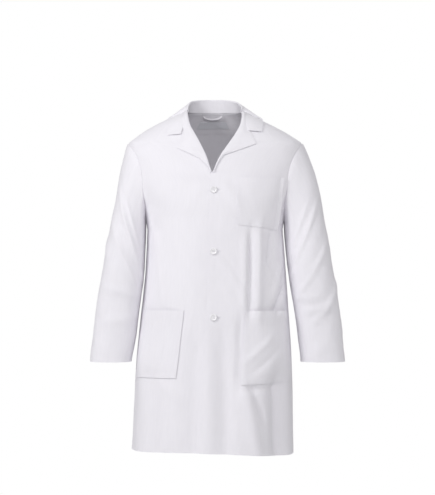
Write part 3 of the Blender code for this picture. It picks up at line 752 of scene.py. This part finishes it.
def front_drop(side, x, z):
    if side > 0:
        return 0.0
    inside = -x - along(FRONT_EDGE, z)
    sunk = EDGE_DROP * smooth((inside + 0.034) / 0.030)
    sunk += (LAP_DROP - EDGE_DROP) * smooth((inside - 0.001) / 0.010)
    return -sunk * smooth((BREAK_Z + 0.02 - z) / 0.03)


def on_front(side, x, z, out=0.0):
    """x is measured towards the front's own side."""
    return on_body(side * turn_at(x, z), z, out + front_drop(side, x, z))


def front_drop_at(side, turn, z):
    """The drop at a turn on the front's own side."""
    return front_drop(side, half_width(z) * signed_power(math.sin(turn), SQUARENESS), z)


def hem_line(turn):
    return -COAT_LENGTH + hem_rise(turn)


def hung_from_underarm(z, turn):
    """The height with the hem's rise shared out between the underarm and the hem."""
    if z < UNDERARM_Z:
        z += hem_rise(turn) * (UNDERARM_Z - z) / (UNDERARM_Z + COAT_LENGTH)
    return z


def facing_out(side, turn):
    return Vector((math.sin(turn) * side, -math.cos(turn), 0))


def front_place(side, u, v):
    z = -COAT_LENGTH + (NECK_Z - 0.003 + COAT_LENGTH) * v
    inner = roll_x(side, z) if z > BREAK_Z else front_edge(side, z)
    inner_turn = min(turn_at(inner, z), side_turn(z) - 0.02)
    turn = inner_turn + (side_turn(z) + SEAM_LAP - inner_turn) * u
    z = hung_from_underarm(z, side * turn)
    return on_body(side * turn, z, front_drop_at(side, turn, z))


FRONT_SIZE = (0.305, 0.965)
HEM_STITCH_Z = -0.93
for side, word in WORDS.items():
    panel, area = cloth(word + "_front_cloth", lambda u, v: front_place(side, u, v), FRONT_SIZE)
    dress(panel, COAT_CLOTH, "coat_cloth", *CORNERS[side])
    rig.replaces(panel, word + "_front", word + "_front_corner")
    edge_row = [(on_front(side, front_edge(side, z) + 0.006, z, STITCH_LIFT), AHEAD)
                for z in [BREAK_Z - 0.004 - i * 0.008 for i in range(96)]]
    hem_start = turn_at(front_edge(side, HEM_STITCH_Z) + 0.006, HEM_STITCH_Z)
    hem_row = []
    for turn in [t for t in [hem_start + i * 0.04 for i in range(42)] if t < 1.56]:
        lift = STITCH_LIFT + front_drop_at(side, turn, HEM_STITCH_Z)
        hem_row.append((on_body(side * turn, hem_line(side * turn) + HEM_ROW, lift),
                        facing_out(side, turn)))
    seam = stitches(word + "_front_topstitch", [edge_row, hem_row], CORNERS[side])
    declare(panel, FRONT_SIZE, area, "hung", [word + "_sleeve", "back_" + word], [seam])

# %% [markdown]
# The backs meet in a centre-back seam that opens into a vent below the seat. The left back
# carries the vent's underlap, and a half-ring facing finishes the inside of the neck.

# %% Backs
BACK_SIZE = (0.300, 0.955)
BACK_LAP = 0.012


def back_place(side, u, v):
    z = -COAT_LENGTH + (NECK_Z + COAT_LENGTH) * v
    edge = math.pi - side_turn(z, back=True) - SEAM_LAP
    centre = math.pi + BACK_LAP * (1 if side > 0 else 0.2)
    turn = centre + (edge - centre) * u
    out = -0.0008 * smooth((u - 0.96) / 0.04)
    if side > 0:
        out -= 0.0012 * (1 - smooth(u / 0.06))
    else:
        out += 0.0022 * (1 - smooth(u / 0.08)) * smooth((VENT_TOP_Z - z) / 0.05)
    return on_body(side * turn, hung_from_underarm(z, side * turn), out)


for side, word in WORDS.items():
    panel, area = cloth("back_" + word + "_cloth", lambda u, v: back_place(side, u, v), BACK_SIZE)
    dress(panel, COAT_CLOTH, "coat_cloth")
    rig.replaces(panel, "back_" + word)
    lines = [[(on_body(side * t, hem_line(side * t) + HEM_ROW, STITCH_LIFT), facing_out(side, t))
              for t in [math.pi - 0.02 - i * 0.04 for i in range(39)]]]
    if side < 0:
        lines.append([(on_body(side * (math.pi - 0.035), z, STITCH_LIFT), -AHEAD)
                      for z in [VENT_TOP_Z - i * 0.008 for i in range(39)]])
    seam = stitches("back_" + word + "_topstitch", lines)
    declare(panel, BACK_SIZE, area, "hung", [], [seam])

# %% [markdown]
# Everything inside the coat is a plain strip of the same cloth, about a millimetre behind the
# outer layer: facings down both fronts, turned-up hems, the vent's underlap and the neck facing.

# %% Facings and hems
LAYER = 0.0011
FACING_WIDTH = 0.055
BODY_HEM, HEM_STRIP_Z = 0.028, -0.94


def lining_strip(name, place, size, replaced, move=()):
    plain_sheet(name, place, size, replaced, LINING_CLOTH, "lining_cloth", move, pitch=0.009)


def hem_strip_place(side, start, end):
    def place(u, v):
        turn = start + (end - start) * u
        drop = front_drop_at(side, turn, HEM_STRIP_Z) if abs(turn) < 1.6 else 0.0
        return on_body(side * turn, hem_line(side * turn) + 0.0015 + BODY_HEM * v, -LAYER + drop)
    return place


def facing_place(side):
    def place(u, v):
        z = -COAT_LENGTH + (BREAK_Z - 0.006 + COAT_LENGTH) * v
        x = front_edge(side, z) + 0.0030 + (FACING_WIDTH - 0.0022) * u
        rise = 0.001 + hem_rise(side * turn_at(x, z))
        return on_front(side, x, z + rise * (1 - v), -LAYER)
    return place


for side, word in WORDS.items():
    lining_strip(word + "_facing_cloth", facing_place(side), (FACING_WIDTH, 0.77),
                 [word + "_facing", word + "_corner_facing"], CORNERS[side])
    start = turn_at(front_edge(side, HEM_STRIP_Z) + FACING_WIDTH + 0.002, HEM_STRIP_Z)
    lining_strip(word + "_hem_cloth", hem_strip_place(side, start, math.pi / 2 - 0.01),
                 (0.30 if side > 0 else 0.27, BODY_HEM), [word + "_hem", word + "_corner_hem"],
                 CORNERS[side])
    start = math.pi - 0.02 - (0.19 if side > 0 else 0)
    lining_strip("back_" + word + "_hem_cloth", hem_strip_place(side, start, math.pi / 2 + 0.01),
                 (0.29, BODY_HEM), ["back_" + word + "_hem"])

VENT_TURN = VENT_WIDTH / HEM_HALF_WIDTH


def vent_place(u, v):
    turn = math.pi - VENT_TURN + VENT_TURN * 1.9 * u
    return on_body(turn, hem_line(turn) + 0.002 + (VENT_TOP_Z + COAT_LENGTH) * v, -LAYER * 2.1)


lining_strip("vent_underlap_cloth", vent_place, (0.095, 0.315), ["vent_underlap"])


def neck_facing_place(u, v):
    return on_body(math.radians(118 + 124 * u), NECK_Z - 0.001 - 0.055 * v, -LAYER)


lining_strip("back_neck_facing_cloth", neck_facing_place, (0.36, 0.055), ["back_neck_facing"])


def label_place(u, v):
    turn = math.pi - (2 * u - 1) * 0.024 / 0.066 * 0.62
    return on_body(turn, NECK_Z - 0.022 - 0.018 * v, -LAYER * 2.1)


plain_sheet("neck_label_tape", label_place, (0.094, 0.018), ["neck_label"], LABEL_TAPE, "label_tape",
            pitch=0.006)

# %% [markdown]
# The lapels. A lapel isn't a flat flap: the front's top rolls over along the roll line with a
# radius of a few millimetres, then lies on the chest with a little air under its middle. One
# strip starts inside the roll, goes over it and ends in the pointed free edge.

# %% Lapels
LAPEL_EDGE = {1: [(BREAK_Z, 0.005), (-0.160, 0.012), (-0.1333, 0.0285), (-0.116, 0.0740),
                  (-0.1005, 0.1115), (-0.0617, 0.0920), (-0.040, 0.0915), (-0.006, 0.0840)],
              -1: [(BREAK_Z, 0.005), (-0.165, 0.012), (-0.1412, 0.0370), (-0.112, 0.1036),
                   (-0.0715, 0.0870), (-0.045, 0.0900), (-0.006, 0.0840)]}
# Heights of the lapel's pointed tip, of the notch above it and of its end under the collar.
LAPEL_CORNERS = {1: (-0.1005, -0.0617), -1: (-0.112, -0.0715)}
LAPEL_TOP, TIP_SHARE, NOTCH_SHARE = -0.006, 20 / 44, 31 / 44
ROLL_RADIUS, ROLL_SHARE = 0.0032, 0.16
LAPEL_SIZE = (0.088, 0.176)


def lapel_z(side, v):
    tip, notch = LAPEL_CORNERS[side]
    return along([(0, BREAK_Z - 0.002), (TIP_SHARE, tip), (NOTCH_SHARE, notch), (1, LAPEL_TOP)], v)


def lapel_place(side, u, v, out=0.0):
    z = lapel_z(side, v)
    fold = roll_x(side, z)
    edge = along(LAPEL_EDGE[side], z) + neck_shift(side, z)
    reach = max(0.004, edge - fold)
    bow = ROLL_RADIUS * 1.25 - 0.0006
    if u < ROLL_SHARE:
        rolled = u / ROLL_SHARE
        angle = math.pi * rolled
        x = fold + 0.002 - ROLL_RADIUS * math.sin(angle) * 0.8 + 0.004 * (1 - rolled)
        lift = ROLL_RADIUS * (1 - math.cos(angle)) / 2 * 1.25 - 0.0006
    else:
        t = (u - ROLL_SHARE) / (1 - ROLL_SHARE)
        x = fold + 0.002 + (reach - 0.002) * t
        lift = bow + 0.0022 * math.sin(math.pi * min(1.0, t * 1.15)) * (1 - t) - 0.0012 * t
    return on_body(side * turn_at(x, z), z, lift + out)


for side, word in WORDS.items():
    lapel, area = cloth(word + "_lapel_cloth", lambda u, v: lapel_place(side, u, v), LAPEL_SIZE,
                        thickness=0.0015, pitch=0.004)
    dress(lapel, COAT_CLOTH, "coat_cloth")
    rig.replaces(lapel, word + "_lapel")
    route = [(0.80, 0.08), (0.90, 0.25), (0.90, TIP_SHARE - 0.03), (0.90, TIP_SHARE + 0.04),
             (0.90, NOTCH_SHARE)]
    lines = [stitch_path(lambda u, v: lapel_place(side, u, v, 0.0010), route[i], route[i + 1])
             for i in (0, 1, 3)]
    seam = stitches(word + "_lapel_topstitch", lines)
    declare(lapel, LAPEL_SIZE, area, "laid", [word + "_front_cloth"], [seam])

# %% [markdown]
# The collar is a stand that rises from the neck seam and a fall that turns over it and lies round
# the neck. Its fold line and its free edge are two smooth curves from the centre back to the
# front ends, and the fall is stretched between them with a slight belly.

# %% Collar
COLLAR_FOLD = [(0.000, 0.064, 0.034), (0.038, 0.055, 0.033), (0.064, 0.031, 0.027),
               (0.0735, -0.003, 0.012), (0.080, -0.036, -0.022), (0.0925, -0.064, -0.0625)]
COLLAR_EDGE = [(0.000, 0.088, -0.040), (0.056, 0.087, -0.042), (0.101, 0.064, -0.034),
               (0.128, 0.020, -0.0225), (0.135, -0.028, -0.032), (0.129, -0.070, -0.0655)]
COLLAR_DIP = 0.010


def along_curve(points, t):
    """A point on the smooth Catmull-Rom curve through the points, t from 0 to 1."""
    spans = len(points) - 1
    i = min(int(t * spans), spans - 1)
    f = t * spans - i
    p1, p2 = Vector(points[i]), Vector(points[i + 1])
    p0 = Vector(points[i - 1]) if i > 0 else Vector((-p2.x, p2.y, p2.z))
    p3 = Vector(points[i + 2]) if i + 2 <= spans else p2 * 2 - p1
    return 0.5 * (2 * p1 + (p2 - p0) * f + (2 * p0 - 5 * p1 + 4 * p2 - p3) * f ** 2
                  + (3 * p1 - p0 - 3 * p2 + p3) * f ** 3)


def front_flatness(u):
    """1 where the collar lies flat on the lapels, 0 where it stands round the neck."""
    return smooth((abs(2 * u - 1) - 0.52) / 0.30)


def shifted(point, side, t):
    """A point of the left half put on its side, with the worn neck's shift at share t."""
    point.x = point.x * side + NECK_SHIFT * smooth((t - 0.2) / 0.5)
    return point


def collar_fall(u, v):
    side = 1 if u >= 0.5 else -1
    t = abs(2 * u - 1)
    point = along_curve(COLLAR_FOLD, t).lerp(along_curve(COLLAR_EDGE, t), v)
    point.z += 0.005 * math.sin(math.pi * v) * (1 - smooth(t * 3 - 1.4))
    point.z -= COLLAR_DIP * (side < 0) * smooth((t - 0.6) / 0.4)
    air = 0.0046 - 0.0012 * v + 0.0014 * math.sin(math.pi * v)
    chest = on_body(side * turn_at(point.x, point.z), point.z, air)
    point.y += (chest.y - point.y) * front_flatness(u)
    return shifted(point, side, t)


def collar_inward(u, v, step=0.004):
    across = collar_fall(min(1.0, u + step), v) - collar_fall(max(0.0, u - step), v)
    down = collar_fall(u, min(1.0, v + step)) - collar_fall(u, max(0.0, v - step))
    inward = across.cross(down).normalized()
    return -inward if inward.z > 0 else inward


COLLAR_ROLL_SHARE, FOLD_V = 0.18, 0.03


def collar_place(depth, rolled):
    """The fall at a depth below its face; the rolled top turns over the fold into the neck."""
    def place(u, v):
        if rolled and v < COLLAR_ROLL_SHARE:
            angle = math.pi * (1 - v / COLLAR_ROLL_SHARE)
            roll = 0.0022 * (1 - 0.8 * front_flatness(u))
            fold = collar_fall(u, FOLD_V)
            down = (collar_fall(u, 0.12) - fold).normalized()
            inward = collar_inward(u, FOLD_V)
            return fold + inward * roll * (1 - math.cos(angle)) - down * 1.4 * roll * math.sin(angle)
        share = v
        if rolled:
            share = FOLD_V + (1 - FOLD_V) * (v - COLLAR_ROLL_SHARE) / (1 - COLLAR_ROLL_SHARE)
        under = depth * (1 - 0.4 * front_flatness(u))
        return collar_fall(u, share) + collar_inward(u, share) * under
    return place


COLLAR_SIZE = (0.46, 0.088)
collar, area = cloth("upper_collar_cloth", collar_place(0.0, True), COLLAR_SIZE, thickness=0.0010,
                     pitch=0.0045)
dress(collar, COAT_CLOTH, "coat_cloth")
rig.replaces(collar, "upper_collar")
face = collar_place(-0.0008, False)
seam = stitches("collar_topstitch", [stitch_path(face, (0.012, 0.92), (0.988, 0.92), 110),
                                     stitch_path(face, (0.012, 0.06), (0.012, 0.92), 10),
                                     stitch_path(face, (0.988, 0.06), (0.988, 0.92), 10)])
declare(collar, COLLAR_SIZE, area, "laid", ["left_lapel_cloth", "right_lapel_cloth"], [seam])

for node, depth, finish, slot in (("collar_interfacing", 0.0014, INTERFACING, "interfacing"),
                                  ("under_collar", 0.0028, LINING_CLOTH, "lining_cloth")):
    layer_place = collar_place(depth, False)
    plain_sheet(node + "_cloth", lambda u, v: layer_place(0.004 + 0.992 * u, 0.07 + 0.90 * v),
                (0.45, 0.072), [node], finish, slot, held="laid", thickness=0.0007, pitch=0.006)


def stand_place(u, v):
    side = 1 if u >= 0.5 else -1
    t = abs(2 * u - 1) * 0.80
    top = along_curve(COLLAR_FOLD, t)
    foot = skin(math.pi - min(1.0, t / 0.66) * math.pi / 2, NECK_Z)
    foot = Vector((abs(foot.x), foot.y - max(0.0, t - 0.66) * 0.2, NECK_Z + 0.001))
    point = foot.lerp(top, v * 0.93)
    point += Vector((-point.x, 0.01 - point.y, 0)).normalized() * (0.0010 + 0.0030 * v)
    return shifted(point, side, t)


plain_sheet("collar_stand_cloth", stand_place, (0.30, 0.040), ["collar_stand"], LINING_CLOTH,
            "lining_cloth", thickness=0.0010, pitch=0.006)

# %% [markdown]
# The sleeves are tubes from the armhole to the cuff. Their section starts as the armhole's own
# outline and turns into a soft oval along the hanging arm. A relaxed arm folds the cloth in
# slanting creases at the elbow and under the arm, which are drawn on the unrolled sleeve.

# %% Sleeves
CUFF_Z, CUFF_HALF_DEPTH, SLEEVE_FORWARD, CUFF_HEM = -0.700, 0.046, 0.026, 0.026
SLEEVE_GIRTH, SLEEVE_LENGTH = 0.42, 0.62
SLEEVE_SPAN = {1: ((0.246, 0, -0.0965), (0.338, 0, -0.123)),
               -1: ((-0.246, 0, -0.0965), (-0.338, 0, -0.123))}
# The hanging sleeve's outer and inner lines, (height, distance out), as the two arms hang.
ARM_OUTER = {-1: [(-0.700, 0.340), (-0.656, 0.3356), (-0.546, 0.322), (-0.437, 0.3045),
                  (-0.345, 0.289), (-0.254, 0.270), (-0.180, 0.2585), (-0.126, 0.2495),
                  (-0.110, 0.2450), (-0.095, 0.2365)],
             1: [(-0.700, 0.3685), (-0.601, 0.3585), (-0.510, 0.3455), (-0.400, 0.3275),
                 (-0.327, 0.3145), (-0.2265, 0.2985), (-0.160, 0.2825), (-0.126, 0.272),
                 (-0.110, 0.2650), (-0.095, 0.256)]}
ARM_INNER = {-1: [(-0.700, 0.2265), (-0.640, 0.2135), (-0.5635, 0.2045), (-0.465, 0.191),
                  (-0.300, 0.184)],
             1: [(-0.700, 0.2455), (-0.640, 0.2385), (-0.5635, 0.2285), (-0.491, 0.216),
                 (-0.4265, 0.2075), (-0.300, 0.196)]}
# (turn round the sleeve, share of its length) of start and end, width and height. A turn of 0 is
# the outside of the arm, 0.25 the front, 0.5 the side next to the body.
SLEEVE_CREASES = {
    -1: [(0.12, 0.20, 0.52, 0.46, 0.0130, 0.0047), (0.20, 0.16, 0.50, 0.34, 0.0117, 0.0031),
         (0.10, 0.36, 0.44, 0.52, 0.0130, 0.0035), (0.40, 0.55, 0.12, 0.66, 0.0130, 0.0031),
         (0.45, 0.68, 0.18, 0.80, 0.0143, 0.0027), (0.55, 0.30, 0.90, 0.42, 0.0169, 0.0035),
         (0.60, 0.50, 0.95, 0.60, 0.0169, 0.0031), (0.30, 0.03, 0.42, 0.22, 0.0130, 0.0035),
         (0.95, 0.44, 1.12, 0.50, 0.0143, 0.0027), (0.22, 0.80, 0.32, 0.95, 0.0169, 0.0017)],
    1: [(0.14, 0.24, 0.50, 0.44, 0.0130, 0.0039), (0.22, 0.18, 0.50, 0.32, 0.0117, 0.0027),
        (0.08, 0.44, 0.40, 0.58, 0.0130, 0.0031), (0.02, 0.64, 0.26, 0.76, 0.0130, 0.0039),
        (0.06, 0.76, 0.34, 0.68, 0.0143, 0.0031), (0.55, 0.34, 0.88, 0.46, 0.0169, 0.0035),
        (0.62, 0.54, 0.95, 0.62, 0.0169, 0.0031), (0.30, 0.03, 0.42, 0.24, 0.0130, 0.0035),
        (0.42, 0.56, 0.22, 0.66, 0.0130, 0.0027), (0.20, 0.84, 0.30, 0.97, 0.0169, 0.0017)],
}


def softened(points, at, reach=0.012):
    return sum(along(points, at + reach * step) for step in (-1.5, -0.5, 0.5, 1.5)) / 4


def armhole_point(side, around):
    middle = (SHOULDER_TIP_Z + UNDERARM_Z) / 2
    reach = (SHOULDER_TIP_Z - UNDERARM_Z) / 2
    z = middle + reach * math.cos(around)
    back = math.sin(around) < 0
    turn = side_turn(z, back) + SEAM_LAP
    point = on_body(side * (math.pi - turn if back else turn), z, -0.0006)
    point.x *= side
    return point


def arm_ring(side, w, around):
    """A ring of the hanging sleeve, on the side of positive x."""
    outer_z = SHOULDER_TIP_Z + (CUFF_Z - SHOULDER_TIP_Z) * w
    inner_z = UNDERARM_Z - 0.002 + (CUFF_Z - UNDERARM_Z + 0.002) * w
    outer = Vector((softened(ARM_OUTER[side], outer_z), 0, outer_z))
    inner = Vector((softened(ARM_INNER[side], inner_z), 0, inner_z))
    depth = ARMHOLE_HALF_DEPTH + (CUFF_HALF_DEPTH - ARMHOLE_HALF_DEPTH) * w ** 1.2
    point = (outer + inner) / 2 + (outer - inner) / 2 * signed_power(math.cos(around), 0.86)
    point.y = -depth * signed_power(math.sin(around), 0.86) - SLEEVE_FORWARD * smooth(w / 0.6)
    return point


def crease_lift(side, w, around):
    share = around / (2 * math.pi)
    folds = [(a * SLEEVE_GIRTH, -b * SLEEVE_LENGTH, c * SLEEVE_GIRTH, -d * SLEEVE_LENGTH, wd, h)
             for a, b, c, d, wd, h in SLEEVE_CREASES[side]]
    s, l = share * SLEEVE_GIRTH, -w * SLEEVE_LENGTH
    lift = sum(fold_lift(s + again, l, folds) for again in (0, SLEEVE_GIRTH, -SLEEVE_GIRTH))
    ring = Vector((math.cos(around), math.sin(around), w * 7 + side * 3.7))
    lift += 0.0022 * noise.noise(ring * 1.3) + 0.0006 * noise.noise(ring * 5.0)
    return lift * smooth(w / 0.05) * (1 - 0.55 * smooth((w - 0.90) / 0.10))


def sleeve_place(side, w, around, out=0.0):
    ring = arm_ring(side, w, around)
    point = armhole_point(side, around).lerp(ring, smooth(w / 0.16))
    centre = (arm_ring(side, w, 0.0) + arm_ring(side, w, math.pi)) / 2
    outward = (point - centre).normalized()
    head = 0.0022 * smooth(w / 0.02) * (1 - smooth((w - 0.02) / 0.10))
    pressed = 1 - 0.75 * bell((around - math.pi) / 0.9)
    lift = crease_lift(side, w, around) * pressed + head
    point += outward * (lift + out)
    point.x *= side
    return point


SLEEVE_SIZE, CUFF_SIZE = (0.43, 0.62), (0.33, CUFF_HEM)
HEM_SHARE = CUFF_HEM / SLEEVE_LENGTH
for side, word in WORDS.items():
    move = ("root", word + "_sleeve", SLEEVE_SPAN[side])
    sleeve, area = cloth(word + "_sleeve_cloth",
                         lambda u, v: sleeve_place(side, v, u * 2 * math.pi),
                         SLEEVE_SIZE, closed=True, pitch=0.0055)
    dress(sleeve, COAT_CLOTH, "coat_cloth", *move)
    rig.replaces(sleeve, word + "_sleeve")

    def cuff_place(u, v):
        return sleeve_place(side, 0.998 - HEM_SHARE * (1 - v), u * 2 * math.pi, -LAYER * 0.8)

    plain_sheet(word + "_cuff_hem_cloth", cuff_place, CUFF_SIZE, [word + "_cuff_hem"], LINING_CLOTH,
                "lining_cloth", move, closed=True, pitch=0.006)
    row = [(sleeve_place(side, 1.0 - HEM_SHARE, a, STITCH_LIFT),
            Vector((math.cos(a) * side, -math.sin(a), 0)))
           for a in [i * math.pi / 30 for i in range(61)]]
    seam = stitches(word + "_cuff_topstitch", [row], move)
    declare(sleeve, SLEEVE_SIZE, area, "hung", [word + "_front_cloth"], [seam])

# %% [markdown]
# Patch pockets are cut-outs with their edges turned under and sewn on by two rows of stitches, so
# the pocket's face stands a little proud and dips at its sewn edges. The top hem is a doubled
# band with its own row of stitches.

# %% Pockets
# Each edge gives its (upper, lower) end: how far out the side edges are, and the corners' heights.
POCKETS = {
    "chest_pocket": {"side": 1, "width": 0.141, "puff": 0.0012, "lift": 0.0015, "stand": 0.0026,
                     "inner": (0.068, 0.067), "outer": (0.195, 0.1755),
                     "top": (-0.193, -0.193), "bottom": (-0.322, -0.337)},
    "left_lower_pocket": {"side": 1, "width": 0.165, "puff": 0.0045, "lift": 0.0026, "stand": 0,
                          "inner": (0.0890, 0.0760), "outer": (0.2035, 0.2150),
                          "top": (-0.556, -0.558), "bottom": (-0.756, -0.752)},
    "right_lower_pocket": {"side": -1, "width": 0.165, "puff": 0.0028, "lift": 0.0024, "stand": 0,
                           "inner": (0.0770, 0.0985), "outer": (0.1880, 0.2100),
                           "top": (-0.555, -0.556), "bottom": (-0.738, -0.741)},
}
POCKET_HEM = 0.022


def pocket_place(spec, u, v, out=0.0):
    top = spec["top"][0] + (spec["top"][1] - spec["top"][0]) * u
    bottom = spec["bottom"][0] + (spec["bottom"][1] - spec["bottom"][0]) * u
    z = bottom + (top - bottom) * v
    trim = along(WIDTH_TRIM[spec["side"]], z)
    ends = [turn_at((edge[1] + (edge[0] - edge[1]) * v) / trim, z)
            for edge in (spec["inner"], spec["outer"])]
    turn = ends[0] + (ends[1] - ends[0]) * u
    rim = min(u, 1 - u) * 0.13
    puff = spec["puff"] * smooth(rim / 0.035) * smooth(v * (top - bottom) / 0.035)
    gape = spec["puff"] * smooth((v - 0.75) / 0.25) * smooth(rim / 0.03)
    standing = spec["stand"] * smooth((u - 0.90) / 0.10)
    return on_body(spec["side"] * turn, z, spec["lift"] + puff + gape + standing + out)


def pocket_stitch_lines(place, width, height):
    """Two rows round the sewn edges and one along the doubled top hem."""
    lines = []
    for inset in (0.0035, 0.0095):
        x, z = inset / width, inset / height
        corners = [(x, 0.995), (x, z), (1 - x, z), (1 - x, 0.995)]
        lines += [stitch_path(place, a, b) for a, b in zip(corners, corners[1:])]
    x, band = 0.0035 / width, 1 - POCKET_HEM / height
    return lines + [stitch_path(place, (x, band), (1 - x, band))]


for name, spec in POCKETS.items():
    width, height = spec["width"], spec["top"][0] - spec["bottom"][0]
    patch, area = cloth(name + "_cloth", lambda u, v: pocket_place(spec, u, v), (width, height),
                        thickness=0.0011, pitch=0.0042)
    lines = pocket_stitch_lines(lambda u, v: pocket_place(spec, u, v, 0.0009), width, height)
    seam = stitches(name + "_topstitch", lines)
    dress(patch, COAT_CLOTH, "coat_cloth")
    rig.replaces(patch, name)
    declare(patch, (width, height), area, "hung", [WORDS[spec["side"]] + "_front_cloth"], [seam])

# %% [markdown]
# The buttons are moulded shirt buttons: a raised rim round a shallow dish with four holes. One is
# modelled from a circle whose edge is extruded along the rim's profile, with the holes drilled by
# Boolean modifiers, and the three on the coat are copies of it.

# %% Button moulding
BUTTON_X, BUTTON_SEAT = 0.003, 0.0016
BUTTON_HEIGHTS = {"top": -0.227, "middle": -0.394, "bottom": -0.573}
HOLE_SPREAD, HOLE_RADIUS = 0.0017, 0.0009
# Half profile from the middle of the back to the middle of the front: distance out, height.
BUTTON_PROFILE = [(0.0, 0.0), (0.0070, 0.0), (0.0086, 0.0005), (0.0094, 0.0014), (0.0095, 0.0019),
                  (0.0091, 0.0026), (0.0083, 0.0030), (0.0074, 0.0029), (0.0066, 0.0023),
                  (0.0056, 0.0018), (0.0, 0.0016)]


def button_mesh():
    tidy_selection()
    bpy.ops.mesh.primitive_circle_add(vertices=48, radius=BUTTON_PROFILE[1][0], fill_type="NOTHING")
    button = bpy.context.object
    work = bmesh.new()
    work.from_mesh(button.data)
    edges = list(work.edges)
    bmesh.ops.contextual_create(work, geom=edges)
    for radius, height in BUTTON_PROFILE[2:-1]:
        grown = bmesh.ops.extrude_edge_only(work, edges=edges)["geom"]
        edges = [g for g in grown if isinstance(g, bmesh.types.BMEdge)]
        for vert in [g for g in grown if isinstance(g, bmesh.types.BMVert)]:
            flat = Vector((vert.co.x, vert.co.y, 0)).normalized()
            vert.co = flat * radius + Vector((0, 0, height))
    bmesh.ops.contextual_create(work, geom=edges)
    bmesh.ops.recalc_face_normals(work, faces=work.faces)
    work.to_mesh(button.data)
    work.free()
    for x in (-HOLE_SPREAD, HOLE_SPREAD):
        for y in (-HOLE_SPREAD, HOLE_SPREAD):
            bpy.ops.mesh.primitive_cylinder_add(vertices=16, radius=HOLE_RADIUS, depth=0.01,
                                                location=(x, y, 0))
            drill = bpy.context.object
            hole = button.modifiers.new("hole", "BOOLEAN")
            hole.operation = "DIFFERENCE"
            hole.object = drill
            apply_modifiers(button)
            bpy.data.objects.remove(drill, do_unlink=True)
    tidy_selection()
    button.select_set(True)
    bpy.context.view_layer.objects.active = button
    bpy.ops.object.shade_smooth_by_angle(angle=math.radians(35))
    return button


model = button_mesh()
for word, z in BUTTON_HEIGHTS.items():
    base = on_front(1, BUTTON_X, z)
    button = model.copy()
    button.data = model.data.copy()
    button.name = button.data.name = "button_" + word + "_moulded"
    bpy.context.collection.objects.link(button)
    for vertex in button.data.vertices:
        x, y, lift = vertex.co
        vertex.co = (base.x + x, base.y - BUTTON_SEAT - lift, base.z + y)
    work = bmesh.new()
    work.from_mesh(button.data)
    bmesh.ops.recalc_face_normals(work, faces=work.faces)
    work.to_mesh(button.data)
    work.free()
    dress(button, BUTTON_PLASTIC, "button_plastic")
    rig.replaces(button, "button_" + word)
bpy.data.objects.remove(model, do_unlink=True)
print(len(BUTTON_HEIGHTS), "buttons of", 2000 * max(r for r, _ in BUTTON_PROFILE), "mm")

# %% [markdown]
# Each button is sewn on with a cross of thread, three strands to an arm, and stands on a shank of
# the same thread that goes through the cloth.

# %% Sewing thread
STRAND_RADIUS, STRAND_SPACING, SHANK_RADIUS = 0.0002, 0.00035, 0.0012

for word, z in BUTTON_HEIGHTS.items():
    base = on_front(1, BUTTON_X, z)
    dish = Vector((base.x, base.y - BUTTON_SEAT - 0.0018, base.z))
    raised = AHEAD * STRAND_RADIUS
    work = bmesh.new()
    for slope in (1, -1):
        reach = Vector((HOLE_SPREAD, 0, slope * HOLE_SPREAD))
        sideways = reach.cross(Vector((0, 1, 0))).normalized()
        across = sideways * STRAND_RADIUS
        for offset in (-STRAND_SPACING, 0.0, STRAND_SPACING):
            middle = dish + sideways * offset
            rings = [[work.verts.new(end + d) for d in (across, raised, -across, -raised)]
                     for end in (middle - reach, middle + 2 * raised, middle + reach)]
            for low, high in zip(rings, rings[1:]):
                for i in range(4):
                    work.faces.new((low[i], low[(i + 1) % 4], high[(i + 1) % 4], high[i]))
            work.faces.new(rings[0][::-1])
            work.faces.new(rings[-1])
    shank = bmesh.ops.create_cone(work, cap_ends=True, segments=12, radius1=SHANK_RADIUS,
                                  radius2=SHANK_RADIUS, depth=0.006)
    for vert in shank["verts"]:
        vert.co = Vector((base.x + vert.co.x, base.y + 0.0010 + vert.co.z, base.z + vert.co.y))
    sewn = dress(mesh_object("button_thread_" + word + "_sewn", work), THREAD, "thread")
    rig.replaces(sewn, "button_thread_" + word)
    print(sewn.name, len(sewn.data.polygons), "faces")

# %% [markdown]
# Each buttonhole is bordered above and below by close satin stitches. They only show beside the
# button, so the slit between the two rows needs no cut.

# %% Buttonholes
SATIN_LENGTH, SATIN_STEP = 0.0021, 0.00075

for word, z in BUTTON_HEIGHTS.items():
    lines = []
    for edge in (-0.0010, 0.0010):
        for i in range(30):
            x = BUTTON_X - 0.003 + i * SATIN_STEP
            lines.append([(on_front(1, x, z + edge * share, 0.0007), AHEAD) for share in (0.4, 2.6)])
    stitches("buttonhole_" + word + "_stitches", lines, length=SATIN_LENGTH)

# %% [markdown]
# The locker loop is a narrow folded tape sewn at both ends inside the back neck. It droops a
# centimetre between them.

# %% Locker loop
def loop_place(u, v):
    sag = math.sin(math.pi * u)
    x = 0.026 * math.cos(math.pi * u)
    z = NECK_Z - 0.006 - 0.0096 * sag
    wall = skin(math.pi - x / BACK_NECK_DEPTH * 0.75, z)
    return Vector((x, wall.y - 0.0105 + 0.004 * (1 - sag), z + (v - 0.5) * 0.005))


plain_sheet("locker_loop_tape", loop_place, (0.062, 0.005), ["locker_loop"], LINING_CLOTH,
            "lining_cloth", flat=(0.062, 0.010), thickness=0.0012, pitch=0.0016)

# %% Write the sizes and finish
with open("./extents.json", "w") as file:
    json.dump({"cad": [list(corner) for corner in cad_box],
               "visual": [list(corner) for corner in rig.bounds()]}, file)
